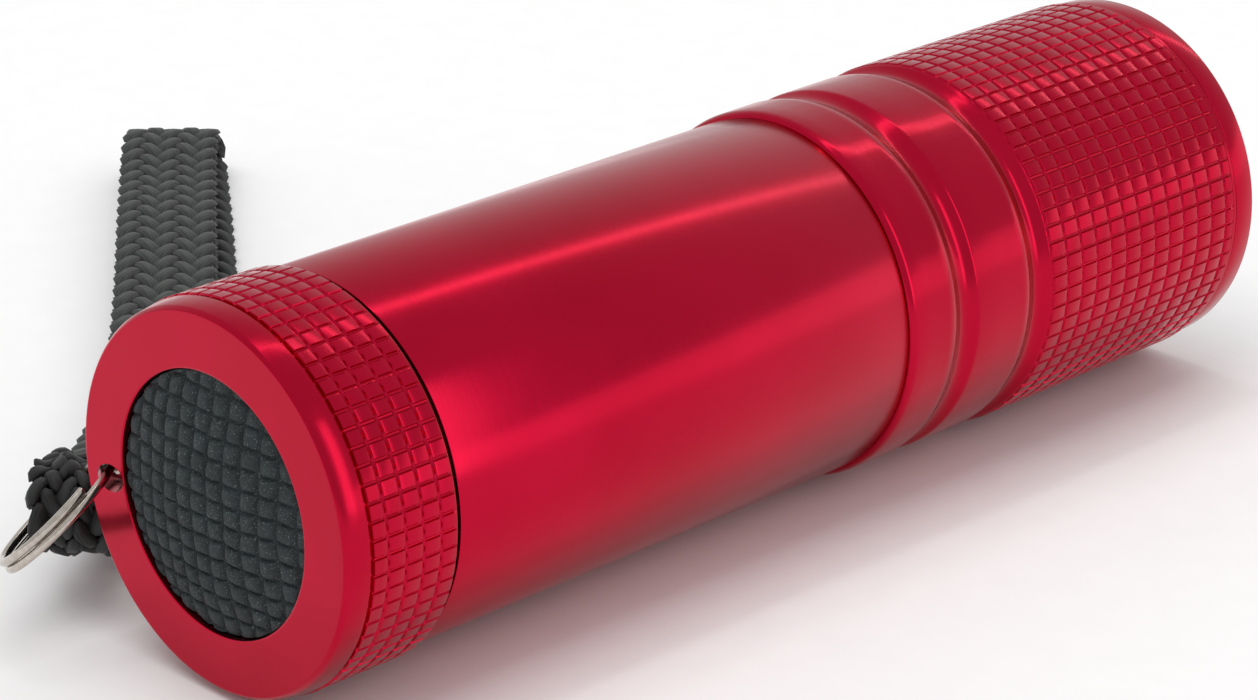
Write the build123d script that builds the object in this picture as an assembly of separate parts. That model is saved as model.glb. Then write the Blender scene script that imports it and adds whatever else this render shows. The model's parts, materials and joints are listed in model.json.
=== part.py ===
from build123d import *
import math
import os

# Pocket torch of turned and anodised aluminium, lying on its side.
# Millimetres. While it is built the torch axis is X, with the tail face at x = 0
# and the lens end at +X. At the end everything moves so that the table is z = 0
# and the origin is the middle of the torch's footprint.

# ------------------------------------------------------------- driving dimensions
# casing
TORCH_LENGTH = 89.2        # tail face to bezel face
CELL_R = 5.25              # size AAA; three side by side set the bore
CELL_APART = 0.02          # from one cell to the next, measured from the axis
CELL_TO_BORE = 0.17        # from the cells to the battery tube's bore
TUBE_WALL = 1.5
NECK_WALL = 1.0            # of the tube's two threaded necks
HEAD_PROUD = 0.55          # crest of the head's knurl over the smooth tube, the widest place
BAND_PROUD = 0.4           # the two plain bands behind the head's knurl, over the tube
CAP_PROUD = 0.35           # crest of the tail cap's knurl over the tube
BEZEL_PROUD = 0.35         # plain front band over the tube
CELL_CENTRE_R = CELL_R * 2 / math.sqrt(3) + CELL_APART
TUBE_BORE_R = round(CELL_CENTRE_R + CELL_R + CELL_TO_BORE, 2)
TUBE_OUTER_R = TUBE_BORE_R + TUBE_WALL
HEAD_R = TUBE_OUTER_R + HEAD_PROUD
HEAD_LENGTH = 38.0         # tube joint to bezel face
BAND_R = TUBE_OUTER_R + BAND_PROUD
VALLEY_DEPTH = 0.5         # round valleys beside those bands
THREAD_R = TUBE_BORE_R + NECK_WALL   # crest of every male thread
THREAD_PITCH = 1.0
THREAD_DEPTH = 0.35

# tail cap
CAP_R = TUBE_OUTER_R + CAP_PROUD
CAP_LENGTH = 9.1
CAP_FACE_THICK = 1.5       # wall round the button
CAP_BAND_END = 1.75        # end of the plain band at the tail
CAP_KNURL_START = 2.05
CAP_KNURL_ROWS = 5
CAP_NECK_LENGTH = 4.6      # length of tube neck that the cap covers
BUTTON_OPENING_R = 8.95
KNURL_GROOVE_WIDTH = 0.3
KNURL_GROOVE_DEPTH = 0.22

# head
HEAD_KNURL_ROWS = 13
BEZEL_LENGTH = 2.2         # plain front band
BEZEL_R = TUBE_OUTER_R + BEZEL_PROUD
BEZEL_LIP = 2.35           # from the front band in to the lens opening
BEZEL_OPENING_R = BEZEL_R - BEZEL_LIP
FRONT_NECK_LENGTH = 3.7    # length of tube neck inside the head

# lighting parts
LENS_THICK = 1.15
LED_DIAMETER = 5.0
LED_HEIGHT = 8.6
LED_RING_COUNT = 8
LED_RING_R = 7.6
BOARD_THICK = 1.4
REFLECTOR_LENGTH = 8.0

# batteries
CELL_LENGTH = 44.5         # over the nub
CELL_COUNT = 3
CARTRIDGE_CLEARANCE = 0.08
CARTRIDGE_REAR_X = 17.4
DISC_THICK = 2.0
CONTACT_THICK = 0.4
CELL_SPRING_LENGTH = 2.7

# tail switch
BOOT_FLANGE_THICK = 0.8
BUTTON_TRAVEL = 1.5
DOME_RISE = 1.5            # crown of the rubber button above its own edge
DOME_SUNK = 0.4            # edge of the dome below the tail face
HOUSING_BODY_R = 7.6
HOUSING_REAR_X = 12.0
PLUNGER_R = 2.0

# split ring and lanyard
LANYARD_HOLE_R = 0.95
LANYARD_HOLE_INSET = 2.95  # from the cap's crest in to the hole's start on the tail face
LANYARD_HOLE_FACE_R = CAP_R - LANYARD_HOLE_INSET
LANYARD_HOLE_TURN = -7.6   # degrees round from +Y
RING_WIRE_R = 0.3
RING_MEAN_R = 4.95
RING_TURN_GAP = 0.03
RING_TURNS = 1.94
RING_END_ANGLE = 150.0     # where one cut end stops; the drilled hole is at 180
RING_DROP = 38.0           # degrees that the ring hangs below level
STRAP_WIDTH = 7.5
STRAP_THICK = 1.2
KNOT_LENGTH = 6.0
KNOT_WIDTH = 6.4
KNOT_HEIGHT = 5.6
STRAP_HEADING = 46.0       # degrees from +X, seen from above

# clearances
SEAT_GAP = 0.05            # between pieces that rest against each other
THREAD_CLEARANCE = 0.05    # male crest to female bore
CAP_GAP = 0.35             # open joint between cap and tube shoulder
LOOSE_GAP = 0.1            # housings and boards in their bores

# ------------------------------------------------------------- worked-out places
os.makedirs("parts", exist_ok=True)
THREAD_BORE_R = THREAD_R + THREAD_CLEARANCE
HEAD_REAR_X = TORCH_LENGTH - HEAD_LENGTH
BEZEL_REAR_X = TORCH_LENGTH - BEZEL_LENGTH
NECK_REAR_X = CAP_LENGTH - CAP_NECK_LENGTH + SEAT_GAP
TUBE_SHOULDER_X = CAP_LENGTH + CAP_GAP
NECK_FRONT_X = HEAD_REAR_X + FRONT_NECK_LENGTH
POCKET_R = BUTTON_OPENING_R + 1.15
parts = {}


# ------------------------------------------------------------- small helpers
def turned(*outline):
    """Revolves a closed outline of (x, radius) points and edges round the torch axis."""
    edges = []
    last = first = None
    for step in outline:
        start = Vector(*step) if isinstance(step, tuple) else step @ 0
        if first is None:
            first = start
        elif (start - last).length > 1e-6:
            edges.append(Line(last, start))
        last = start
        if not isinstance(step, tuple):
            edges.append(step)
            last = step @ 1
    edges.append(Line(last, first))
    return revolve(make_face(Curve() + edges), Axis.X, 360)


def rod(x_start, x_end, radius, y=0.0, z=0.0):
    """A solid cylinder along X."""
    return Pos(x_start, y, z) * Rot(0, 90, 0) * Cylinder(
        radius, x_end - x_start, align=(Align.CENTER, Align.CENTER, Align.MIN)
    )


def sleeve(x_start, x_end, outer, inner):
    """A plain tube along X."""
    return turned((x_start, inner), (x_start, outer), (x_end, outer), (x_end, inner))


def coil(x_start, x_end, mean_r, wire_r, pitch, y=0.0, z=0.0):
    """A round-wire compression spring along X between two planes."""
    height = x_end - x_start - 2 * wire_r
    path = Helix(pitch, height, mean_r)
    section = Plane(origin=path @ 0, z_dir=path % 0) * Circle(wire_r)
    return Pos(x_start + wire_r, y, z) * Rot(0, 90, 0) * sweep(section, path=path)


def threaded(solid, x_start, x_end, crest_r=THREAD_R):
    """Cuts V grooves of the thread pitch into a neck, as rings."""
    count = int((x_end - x_start) / THREAD_PITCH)
    for i in range(count):
        middle = x_start + (i + 0.5) * THREAD_PITCH
        half = THREAD_PITCH * 0.42
        groove = turned(
            (middle - half, crest_r + 0.2),
            (middle - half, crest_r),
            (middle, crest_r - THREAD_DEPTH),
            (middle + half, crest_r),
            (middle + half, crest_r + 0.2),
        )
        solid -= groove
    return solid


def knurl_grooves(solid, x_start, pitch, count, crest_r):
    """Cuts the ring grooves that part the rows of a knurl."""
    for i in range(count):
        left = x_start + (i + 1) * pitch - KNURL_GROOVE_WIDTH / 2
        solid -= sleeve(
            left, left + KNURL_GROOVE_WIDTH, crest_r + 0.5, crest_r - KNURL_GROOVE_DEPTH
        )
    return solid


def ring_seal(x, groove_root_r, bore_r):
    """A round-section rubber ring that fills a groove up to its bore."""
    section_r = (bore_r - groove_root_r) / 2 - 0.01
    return Pos(x, 0, 0) * Rot(0, 90, 0) * Torus(groove_root_r + 0.01 + section_r, section_r)


# ------------------------------------------------------------- battery tube
SEAL_GROOVE_DEPTH = 0.65
SEAL_GROOVE_WIDTH = 0.8
TAIL_SEAL_X = CAP_LENGTH - 0.9
HEAD_SEAL_X = HEAD_REAR_X + 0.8


def battery_tube():
    """Smooth tube with a threaded neck at each end."""
    tube = turned(
        (NECK_REAR_X, TUBE_BORE_R),
        (NECK_REAR_X, THREAD_R),
        (TUBE_SHOULDER_X, THREAD_R),
        (TUBE_SHOULDER_X, TUBE_OUTER_R - 0.1),
        (TUBE_SHOULDER_X + 0.1, TUBE_OUTER_R),
        (HEAD_REAR_X - SEAT_GAP, TUBE_OUTER_R),
        (HEAD_REAR_X - SEAT_GAP, THREAD_R),
        (NECK_FRONT_X, THREAD_R),
        (NECK_FRONT_X, TUBE_BORE_R),
    )
    root = THREAD_R - SEAL_GROOVE_DEPTH
    for middle in (TAIL_SEAL_X, HEAD_SEAL_X):
        tube -= sleeve(
            middle - SEAL_GROOVE_WIDTH / 2, middle + SEAL_GROOVE_WIDTH / 2, THREAD_R + 1, root
        )
    tube = threaded(tube, NECK_REAR_X + 0.1, TAIL_SEAL_X - SEAL_GROOVE_WIDTH / 2)
    return threaded(tube, HEAD_SEAL_X + SEAL_GROOVE_WIDTH / 2, NECK_FRONT_X)


parts["battery_tube"] = battery_tube()
parts["tail_seal"] = ring_seal(TAIL_SEAL_X, THREAD_R - SEAL_GROOVE_DEPTH, THREAD_BORE_R)
parts["head_seal"] = ring_seal(HEAD_SEAL_X, THREAD_R - SEAL_GROOVE_DEPTH, THREAD_BORE_R)

# ------------------------------------------------------------- head
BAND_1_END = HEAD_REAR_X + 3.8
VALLEY_1_END = BAND_1_END + 3.1
BAND_2_END = VALLEY_1_END + 4.8
VALLEY_2_END = BAND_2_END + 2.8
HEAD_KNURL_START = VALLEY_2_END + 0.2
HEAD_KNURL_END = BEZEL_REAR_X - 0.55
HEAD_KNURL_PITCH = (HEAD_KNURL_END - HEAD_KNURL_START) / HEAD_KNURL_ROWS
HEAD_BORE_R = TUBE_BORE_R + 0.15
BOARD_SEAT_X = TORCH_LENGTH - 15.6
BEZEL_SKIRT_X = TORCH_LENGTH - 5.8
LIGHT_BORE_R = HEAD_BORE_R + 0.35


def valley(x_start, x_end, rear_r, front_r):
    """Outline edge of a round valley: a soft shoulder, a low middle and a steeper rise."""
    low = rear_r - VALLEY_DEPTH
    span = x_end - x_start
    return Spline(
        [
            (x_start, rear_r),
            (x_start + 0.3 * span, rear_r - 0.55 * VALLEY_DEPTH),
            (x_start + 0.58 * span, low),
            (x_end, front_r),
        ],
        tangents=[(1, 0), (1, 1.2)],
    )


def head_shell():
    """Head casing: two plain bands, two round valleys and a long knurled grip."""
    shell = turned(
        (HEAD_REAR_X, THREAD_BORE_R),
        (HEAD_REAR_X, BAND_R - 0.15),
        (HEAD_REAR_X + 0.15, BAND_R),
        (BAND_1_END, BAND_R),
        valley(BAND_1_END, VALLEY_1_END, BAND_R, BAND_R),
        (BAND_2_END, BAND_R),
        valley(BAND_2_END, VALLEY_2_END, BAND_R, HEAD_R - 0.05),
        (HEAD_KNURL_START, HEAD_R),
        (HEAD_KNURL_END, HEAD_R),
        (BEZEL_REAR_X - SEAT_GAP, HEAD_R - 0.15),
        (BEZEL_REAR_X - SEAT_GAP, THREAD_BORE_R),
        (BEZEL_SKIRT_X - SEAT_GAP, THREAD_BORE_R),
        (BEZEL_SKIRT_X - SEAT_GAP, LIGHT_BORE_R),
        (BOARD_SEAT_X, LIGHT_BORE_R),
        (BOARD_SEAT_X, HEAD_BORE_R),
        (NECK_FRONT_X + SEAT_GAP, HEAD_BORE_R),
        (NECK_FRONT_X + SEAT_GAP, THREAD_BORE_R),
    )
    return knurl_grooves(
        shell, HEAD_KNURL_START, HEAD_KNURL_PITCH, HEAD_KNURL_ROWS - 1, HEAD_R
    )


def bezel_ring():
    """Front ring that screws into the head and holds the lens."""
    lens_seat_x = TORCH_LENGTH - 1.0
    ring = turned(
        (BEZEL_SKIRT_X, LIGHT_BORE_R - 0.05),
        (BEZEL_SKIRT_X, THREAD_R),
        (BEZEL_REAR_X, THREAD_R),
        (BEZEL_REAR_X, BEZEL_R),
        (TORCH_LENGTH - 0.3, BEZEL_R),
        (TORCH_LENGTH, BEZEL_R - 0.3),
        (TORCH_LENGTH, BEZEL_OPENING_R + 0.4),
        (lens_seat_x, BEZEL_OPENING_R),
        (lens_seat_x, LIGHT_BORE_R - 0.05),
    )
    return threaded(ring, BEZEL_SKIRT_X, BEZEL_REAR_X)


LENS_FRONT_X = TORCH_LENGTH - 1.0 - SEAT_GAP
LENS_REAR_X = LENS_FRONT_X - LENS_THICK
SEAL_THICK = 0.9
REFLECTOR_FRONT_X = LENS_REAR_X - SEAL_THICK - 2 * SEAT_GAP
REFLECTOR_REAR_X = REFLECTOR_FRONT_X - REFLECTOR_LENGTH
LIGHT_R = LIGHT_BORE_R - 0.05 - SEAT_GAP
BOARD_FRONT_X = BOARD_SEAT_X + SEAT_GAP + BOARD_THICK
LED_BASE_X = BOARD_FRONT_X + 0.5
LED_PLACES = [(0.0, 0.0)]
for i in range(LED_RING_COUNT):
    angle = 2 * math.pi * i / LED_RING_COUNT
    LED_PLACES.append((LED_RING_R * math.cos(angle), LED_RING_R * math.sin(angle)))


def reflector():
    """Moulded reflector with one cup for each lamp."""
    hole_r = LED_DIAMETER / 2 + LOOSE_GAP
    cup_r = LED_DIAMETER / 2 + 0.38
    body = sleeve(REFLECTOR_REAR_X, REFLECTOR_FRONT_X, LIGHT_R, 0)
    for y, z in LED_PLACES:
        depth = REFLECTOR_LENGTH * 0.75
        cup = turned(
            (REFLECTOR_REAR_X - 0.1, 0),
            (REFLECTOR_REAR_X - 0.1, hole_r),
            (REFLECTOR_FRONT_X - depth, hole_r),
            (REFLECTOR_FRONT_X + 0.1, cup_r),
            (REFLECTOR_FRONT_X + 0.1, 0),
        )
        body -= Pos(0, y, z) * cup
    return body


def lamp(y, z):
    """One round lamp: a thin flange, a barrel and a half-round tip."""
    radius = LED_DIAMETER / 2
    tip_x = LED_BASE_X + LED_HEIGHT
    barrel = turned(
        (LED_BASE_X, 0),
        (LED_BASE_X, radius + 0.35),
        (LED_BASE_X + 1.0, radius + 0.35),
        (LED_BASE_X + 1.0, radius),
        (tip_x - radius, radius),
        ThreePointArc(
            (tip_x - radius, radius),
            (tip_x - radius + radius * math.sin(math.pi / 4), radius * math.cos(math.pi / 4)),
            (tip_x, 0),
        ),
    )
    return Pos(0, y, z) * barrel


parts["head_shell"] = head_shell()
parts["bezel_ring"] = bezel_ring()
parts["lens"] = rod(LENS_REAR_X, LENS_FRONT_X, LIGHT_R)
parts["lens_seal"] = Pos((REFLECTOR_FRONT_X + LENS_REAR_X) / 2, 0, 0) * Rot(0, 90, 0) * Torus(
    LIGHT_R - SEAL_THICK / 2, SEAL_THICK / 2
)
parts["reflector"] = reflector()
parts["lamps"] = Compound([lamp(y, z) for y, z in LED_PLACES])
parts["lamp_leads"] = Compound(
    [
        rod(BOARD_FRONT_X, LED_BASE_X, 0.25, y, z + side * 1.27)
        for y, z in LED_PLACES
        for side in (-1, 1)
    ]
)
parts["lamp_board"] = rod(BOARD_SEAT_X + SEAT_GAP, BOARD_FRONT_X, LIGHT_BORE_R - LOOSE_GAP)

# ------------------------------------------------------------- battery cartridge
CARTRIDGE_R = TUBE_BORE_R - CARTRIDGE_CLEARANCE
REAR_PLATE_X = CARTRIDGE_REAR_X + DISC_THICK
CELLS_START_X = REAR_PLATE_X + CONTACT_THICK
CELLS_END_X = CELLS_START_X + CELL_LENGTH + CELL_SPRING_LENGTH
FRONT_PLATE_X = CELLS_END_X + CONTACT_THICK
CARTRIDGE_FRONT_X = FRONT_PLATE_X + DISC_THICK
NUB_LENGTH = 1.0
TERMINAL_R = 4.0
CELL_PLACES = [
    (
        CELL_CENTRE_R * math.cos(math.radians(90 + 120 * i)),
        CELL_CENTRE_R * math.sin(math.radians(90 + 120 * i)),
    )
    for i in range(CELL_COUNT)
]


def battery_cell(index):
    """One cell. The middle one of the three points the other way."""
    y, z = CELL_PLACES[index]
    cell = rod(0, CELL_LENGTH - NUB_LENGTH, CELL_R - 0.02)
    cell = fillet(cell.edges().filter_by(GeomType.CIRCLE), 0.4)
    cell += rod(CELL_LENGTH - NUB_LENGTH, CELL_LENGTH, 1.9)
    if index == 1:
        return Pos(CELLS_START_X + CELL_LENGTH, y, z) * Rot(0, 0, 180) * cell
    return Pos(CELLS_START_X + CELL_SPRING_LENGTH, y, z) * cell


def cell_spring(index):
    """Coil that presses on the flat end of one cell."""
    y, z = CELL_PLACES[index]
    start = CELLS_START_X
    if index == 1:
        start = CELLS_START_X + CELL_LENGTH
    return coil(
        start + SEAT_GAP, start + CELL_SPRING_LENGTH - SEAT_GAP, 2.6, 0.25, 0.75, y, z
    )


def cartridge_ribs():
    """Three bars in the gaps between the cells, joining the end discs."""
    bars = []
    for i in range(CELL_COUNT):
        bar = Pos((REAR_PLATE_X + FRONT_PLATE_X) / 2, CARTRIDGE_R - 1.9, 0) * Box(
            FRONT_PLATE_X - REAR_PLATE_X, 2.6, 3.2
        )
        bars.append(Rot(30 + 120 * i, 0, 0) * bar)
    return Compound(bars)


parts["cartridge_rear_disc"] = rod(CARTRIDGE_REAR_X, REAR_PLATE_X, CARTRIDGE_R)
parts["cartridge_front_disc"] = rod(FRONT_PLATE_X, CARTRIDGE_FRONT_X, CARTRIDGE_R)
parts["cartridge_ribs"] = cartridge_ribs()
for i in range(CELL_COUNT):
    parts[f"battery_cell_{i + 1}"] = battery_cell(i)
parts["cell_springs"] = Compound([cell_spring(i) for i in range(CELL_COUNT)])
parts["cell_contacts"] = Compound(
    [
        rod(x, x + CONTACT_THICK, 3.6, y, z)
        for x in (REAR_PLATE_X, CELLS_END_X)
        for y, z in CELL_PLACES
    ]
)
FRONT_TERMINAL_X = CARTRIDGE_FRONT_X + 0.8
REAR_TERMINAL_X = CARTRIDGE_REAR_X - 0.5
parts["cartridge_front_terminal"] = rod(CARTRIDGE_FRONT_X, FRONT_TERMINAL_X, 2.6)
parts["cartridge_rear_terminal"] = rod(REAR_TERMINAL_X, CARTRIDGE_REAR_X, TERMINAL_R)
parts["board_spring"] = coil(
    FRONT_TERMINAL_X + SEAT_GAP, BOARD_SEAT_X, 2.2, 0.3, 0.95
)

# ------------------------------------------------------------- tail switch
FLANGE_END_X = CAP_FACE_THICK + BOOT_FLANGE_THICK
HOUSING_FLANGE_END_X = FLANGE_END_X + 1.3
POCKET_END_X = CAP_LENGTH - CAP_NECK_LENGTH
PLUNGER_TIP_X = FLANGE_END_X - 0.25
HOUSING_LIP_X = FLANGE_END_X + 2.3
PLUNGER_COLLAR_X = HOUSING_LIP_X + 0.4
PLUNGER_COLLAR_END_X = PLUNGER_COLLAR_X + 1.2
HOUSING_FLOOR_X = HOUSING_REAR_X - 1.5
COLLAR_R = 3.2


def button_boot():
    """Rubber button: domed crown, skirt in the opening, clamped flange and a middle nub."""
    crown_r = BUTTON_OPENING_R - LOOSE_GAP
    top = DOME_SUNK - DOME_RISE
    wall = 1.2
    ball_r = (crown_r**2 + DOME_RISE**2) / (2 * DOME_RISE)
    half = math.asin(crown_r / ball_r) / 2
    midway = (top + ball_r * (1 - math.cos(half)), ball_r * math.sin(half))
    return turned(
        ThreePointArc((DOME_SUNK, crown_r), midway, (top, 0)),
        (PLUNGER_TIP_X - SEAT_GAP, 0),
        (PLUNGER_TIP_X - SEAT_GAP, PLUNGER_R),
        (top + wall + 0.25, PLUNGER_R + 0.3),
        (DOME_SUNK + wall, crown_r - 1.4),
        (FLANGE_END_X - SEAT_GAP, crown_r - 1.4),
        (FLANGE_END_X - SEAT_GAP, POCKET_R - LOOSE_GAP),
        (CAP_FACE_THICK + SEAT_GAP, POCKET_R - LOOSE_GAP),
        (CAP_FACE_THICK + SEAT_GAP, crown_r),
    )


def switch_housing():
    """Moulded housing with a flange, a guide hole and a spring chamber."""
    return turned(
        (FLANGE_END_X, PLUNGER_R + 0.06),
        (FLANGE_END_X, POCKET_R - LOOSE_GAP),
        (HOUSING_FLANGE_END_X, POCKET_R - LOOSE_GAP),
        (HOUSING_FLANGE_END_X, HOUSING_BODY_R),
        (HOUSING_REAR_X, HOUSING_BODY_R),
        (HOUSING_REAR_X, 0),
        (HOUSING_FLOOR_X, 0),
        (HOUSING_FLOOR_X, COLLAR_R + 0.08),
        (HOUSING_LIP_X, COLLAR_R + 0.08),
        (HOUSING_LIP_X, PLUNGER_R + 0.06),
    )


parts["button_boot"] = button_boot()
parts["switch_plunger"] = turned(
    (PLUNGER_TIP_X, 0),
    (PLUNGER_TIP_X, PLUNGER_R),
    (PLUNGER_COLLAR_X, PLUNGER_R),
    (PLUNGER_COLLAR_X, COLLAR_R),
    (PLUNGER_COLLAR_END_X, COLLAR_R),
    (PLUNGER_COLLAR_END_X, PLUNGER_R - 0.2),
    (HOUSING_FLOOR_X - BUTTON_TRAVEL - 0.3, PLUNGER_R - 0.2),
    (HOUSING_FLOOR_X - BUTTON_TRAVEL - 0.3, 0),
)
parts["switch_housing"] = switch_housing()
parts["switch_spring"] = coil(
    PLUNGER_COLLAR_END_X + SEAT_GAP, HOUSING_FLOOR_X - SEAT_GAP, 2.5, 0.25, 1.0
)
parts["switch_retaining_ring"] = sleeve(
    HOUSING_FLANGE_END_X + SEAT_GAP, POCKET_END_X, POCKET_R - 0.02, HOUSING_BODY_R + LOOSE_GAP
)
SWITCH_TERMINAL_END_X = HOUSING_REAR_X + 0.6
parts["switch_terminal"] = rod(HOUSING_REAR_X, SWITCH_TERMINAL_END_X, 3.4)
parts["contact_spring"] = coil(
    SWITCH_TERMINAL_END_X + SEAT_GAP, REAR_TERMINAL_X - SEAT_GAP, 2.8, 0.3, 1.05
)

# ------------------------------------------------------------- tail cap
HOLE_SLOPE = math.radians(45)
HOLE_RUN = (CAP_R - LANYARD_HOLE_FACE_R) / math.sin(HOLE_SLOPE)
HOLE_ALONG = Vector(math.cos(HOLE_SLOPE), math.sin(HOLE_SLOPE), 0)
HOLE_OUTWARD = Vector(-math.sin(HOLE_SLOPE), math.cos(HOLE_SLOPE), 0)
HOLE_MIDDLE = Vector(0, LANYARD_HOLE_FACE_R, 0) + HOLE_ALONG * (HOLE_RUN / 2)
CAP_KNURL_PITCH = (CAP_LENGTH - 0.1 - CAP_KNURL_START) / CAP_KNURL_ROWS


def tail_cap():
    """Cap with the button opening, a knurled grip and a slanted lanyard hole."""
    cap = turned(
        (0, BUTTON_OPENING_R + 0.12),
        (0, CAP_R - 0.55),
        (0.3, CAP_R - 0.33),
        (CAP_BAND_END, CAP_R - 0.08),
        (CAP_BAND_END + 0.06, CAP_R - 0.25),
        (CAP_KNURL_START - 0.06, CAP_R - 0.25),
        (CAP_KNURL_START, CAP_R),
        (CAP_LENGTH - 0.1, CAP_R),
        (CAP_LENGTH, CAP_R - 0.1),
        (CAP_LENGTH, THREAD_BORE_R),
        (POCKET_END_X, THREAD_BORE_R),
        (POCKET_END_X, POCKET_R),
        (CAP_FACE_THICK, POCKET_R),
        (CAP_FACE_THICK, BUTTON_OPENING_R),
        (0.12, BUTTON_OPENING_R),
    )
    cap = knurl_grooves(cap, CAP_KNURL_START, CAP_KNURL_PITCH, CAP_KNURL_ROWS - 1, CAP_R)
    drill = Plane(origin=HOLE_MIDDLE, z_dir=HOLE_ALONG) * Cylinder(
        LANYARD_HOLE_R, HOLE_RUN + 6
    )
    return cap - Rot(LANYARD_HOLE_TURN, 0, 0) * drill


parts["tail_cap"] = tail_cap()

# ------------------------------------------------------------- split ring
# The ring passes through the slanted hole and hangs below level from it.
RING_TURN_PITCH = 2 * RING_WIRE_R + RING_TURN_GAP
RING_SAG = RING_MEAN_R - math.sqrt(RING_MEAN_R**2 - (HOLE_RUN / 2) ** 2)
DROP = math.radians(RING_DROP)
RING_DIRECTION = HOLE_OUTWARD * math.cos(DROP) + Vector(0, 0, -1) * math.sin(DROP)
RING_CENTRE = HOLE_MIDDLE + RING_DIRECTION * (RING_MEAN_R - RING_SAG / 2)
RING_NORMAL = HOLE_ALONG.cross(RING_DIRECTION)
RING_PLANE = Plane(origin=RING_CENTRE, x_dir=RING_DIRECTION, z_dir=RING_NORMAL)


def split_ring():
    """Two close turns of hard wire. One cut end stops just before the drilled hole."""
    path = Helix(RING_TURN_PITCH, RING_TURNS * RING_TURN_PITCH, RING_MEAN_R)
    section = Plane(origin=path @ 0, z_dir=path % 0) * Circle(RING_WIRE_R)
    start_angle = RING_END_ANGLE + 360 * (2 - RING_TURNS)
    middle = RING_TURN_PITCH * ((180 - start_angle) / 360 + 0.5)
    ring = Rot(0, 0, start_angle) * Pos(0, 0, -middle) * sweep(section, path=path)
    return Rot(LANYARD_HOLE_TURN, 0, 0) * (RING_PLANE * ring)


parts["split_ring"] = split_ring()

# ------------------------------------------------------------- lanyard
# The strap is a flat loop. Seen from above it runs straight away from the ring, so its
# route is drawn in an upright plane: distance along the heading, height above the table.
TABLE_Z = -HEAD_R
KNOT_ANGLE = math.radians(20)  # round the ring from the drilled hole's far mouth
KNOT_SET_BACK = 1.6            # knot middle behind the ring wire, along the heading
HEADING = math.radians(STRAP_HEADING)
RING_BACK = RING_CENTRE + RING_MEAN_R * (
    HOLE_ALONG * math.cos(KNOT_ANGLE) + RING_DIRECTION * math.sin(KNOT_ANGLE)
)
KNOT_CENTRE = (Rot(LANYARD_HOLE_TURN, 0, 0) * Pos(*RING_BACK)).position + KNOT_SET_BACK * Vector(
    math.cos(HEADING), math.sin(HEADING), 0
)
STRAP_PLANE = Plane(
    origin=(KNOT_CENTRE.X, KNOT_CENTRE.Y, TABLE_Z),
    x_dir=(math.cos(HEADING), math.sin(HEADING), 0),
    z_dir=(math.sin(HEADING), -math.cos(HEADING), 0),
)
STRAP_ROUTE = [
    (3.4, 4.4),
    (13.0, 1.5),
    (30.0, 0.75),
    (46.0, 0.7),
    (62.0, 0.8),
    (73.0, 0.65),
    (79.5, 0.85),
    (83.6, 0.8),
    (84.0, 3.75),
    (79.7, 3.9),
    (73.0, 3.5),
    (62.0, 3.8),
    (46.0, 3.45),
    (30.0, 3.6),
    (13.0, 4.7),
    (3.4, 6.9),
]


def bend_radii(points):
    """Radius at each inner point, so that tangent arcs share the shorter straight run."""
    radii = []
    for before, here, after in zip(points, points[1:], points[2:]):
        first = Vector(*here) - Vector(*before)
        second = Vector(*after) - Vector(*here)
        turn = math.radians(first.get_angle(second))
        run = min(first.length, second.length)
        radii.append(0.45 * run / math.tan(turn / 2))
    return radii


def route_line(points, radii):
    """Straight runs joined by tangent arcs."""
    edges = []
    last = Vector(*points[0])
    for before, here, after, radius in zip(points, points[1:], points[2:], radii):
        back = (Vector(*before) - Vector(*here)).normalized()
        onward = (Vector(*after) - Vector(*here)).normalized()
        half_turn = math.radians(180 - back.get_angle(onward)) / 2
        reach = radius * math.tan(half_turn)
        start = Vector(*here) + back * reach
        end = Vector(*here) + onward * reach
        edges.append(Line(last, start))
        middle = Vector(*here) + (back + onward).normalized() * (
            radius / math.cos(half_turn) - radius
        )
        edges.append(ThreePointArc(start, middle, end))
        last = end
    edges.append(Line(last, Vector(*points[-1])))
    return edges


STRAP_RADII = bend_radii(STRAP_ROUTE)
STRAP_LINE = Wire(route_line(STRAP_ROUTE, STRAP_RADII))
print("strap bend radii", [round(r, 1) for r in STRAP_RADII])
print("strap route length", round(STRAP_LINE.length, 2))


def lanyard_strap():
    """Flat webbing loop that lies on the table."""
    section = Plane(origin=STRAP_LINE @ 0, x_dir=(0, 0, 1), z_dir=STRAP_LINE % 0) * Rectangle(
        STRAP_WIDTH, STRAP_THICK
    )
    return STRAP_PLANE * sweep(section, path=STRAP_LINE)


def lanyard_knot():
    """Bunched end of the webbing, gathered round the back of the ring."""
    height = KNOT_CENTRE.Z - TABLE_Z
    blob = STRAP_PLANE * Pos(0, height, 0) * Box(KNOT_LENGTH, KNOT_HEIGHT, KNOT_WIDTH)
    blob = fillet(blob.edges(), 1.6)
    channel = RING_PLANE * Torus(RING_MEAN_R, 2 * RING_WIRE_R + 0.3)
    cap_room = rod(-5, CAP_LENGTH + 3, CAP_R + 0.35)
    return blob - Rot(LANYARD_HOLE_TURN, 0, 0) * channel - cap_room


parts["lanyard_strap"] = lanyard_strap()
parts["lanyard_knot"] = lanyard_knot()
print("strap volume", parts["lanyard_strap"].volume, STRAP_WIDTH * STRAP_THICK * STRAP_LINE.length)

# ------------------------------------------------------------- placing and export
CORDS = ("lanyard_strap", "lanyard_knot")
box = Compound([s for n, s in parts.items() if n not in CORDS]).bounding_box()
CENTRE_X = (box.min.X + box.max.X) / 2
CENTRE_Y = (box.min.Y + box.max.Y) / 2
place = Pos(-CENTRE_X, -CENTRE_Y, HEAD_R)
print("shift", (-CENTRE_X, -CENTRE_Y, HEAD_R))
print("ring hinge", place * Rot(LANYARD_HOLE_TURN, 0, 0) * Pos(*HOLE_MIDDLE))
print("ring hinge axis", Rot(LANYARD_HOLE_TURN, 0, 0) * Pos(*HOLE_ALONG))
for name, solid in parts.items():
    export_step(place * solid, f"parts/{name}.step")
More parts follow.
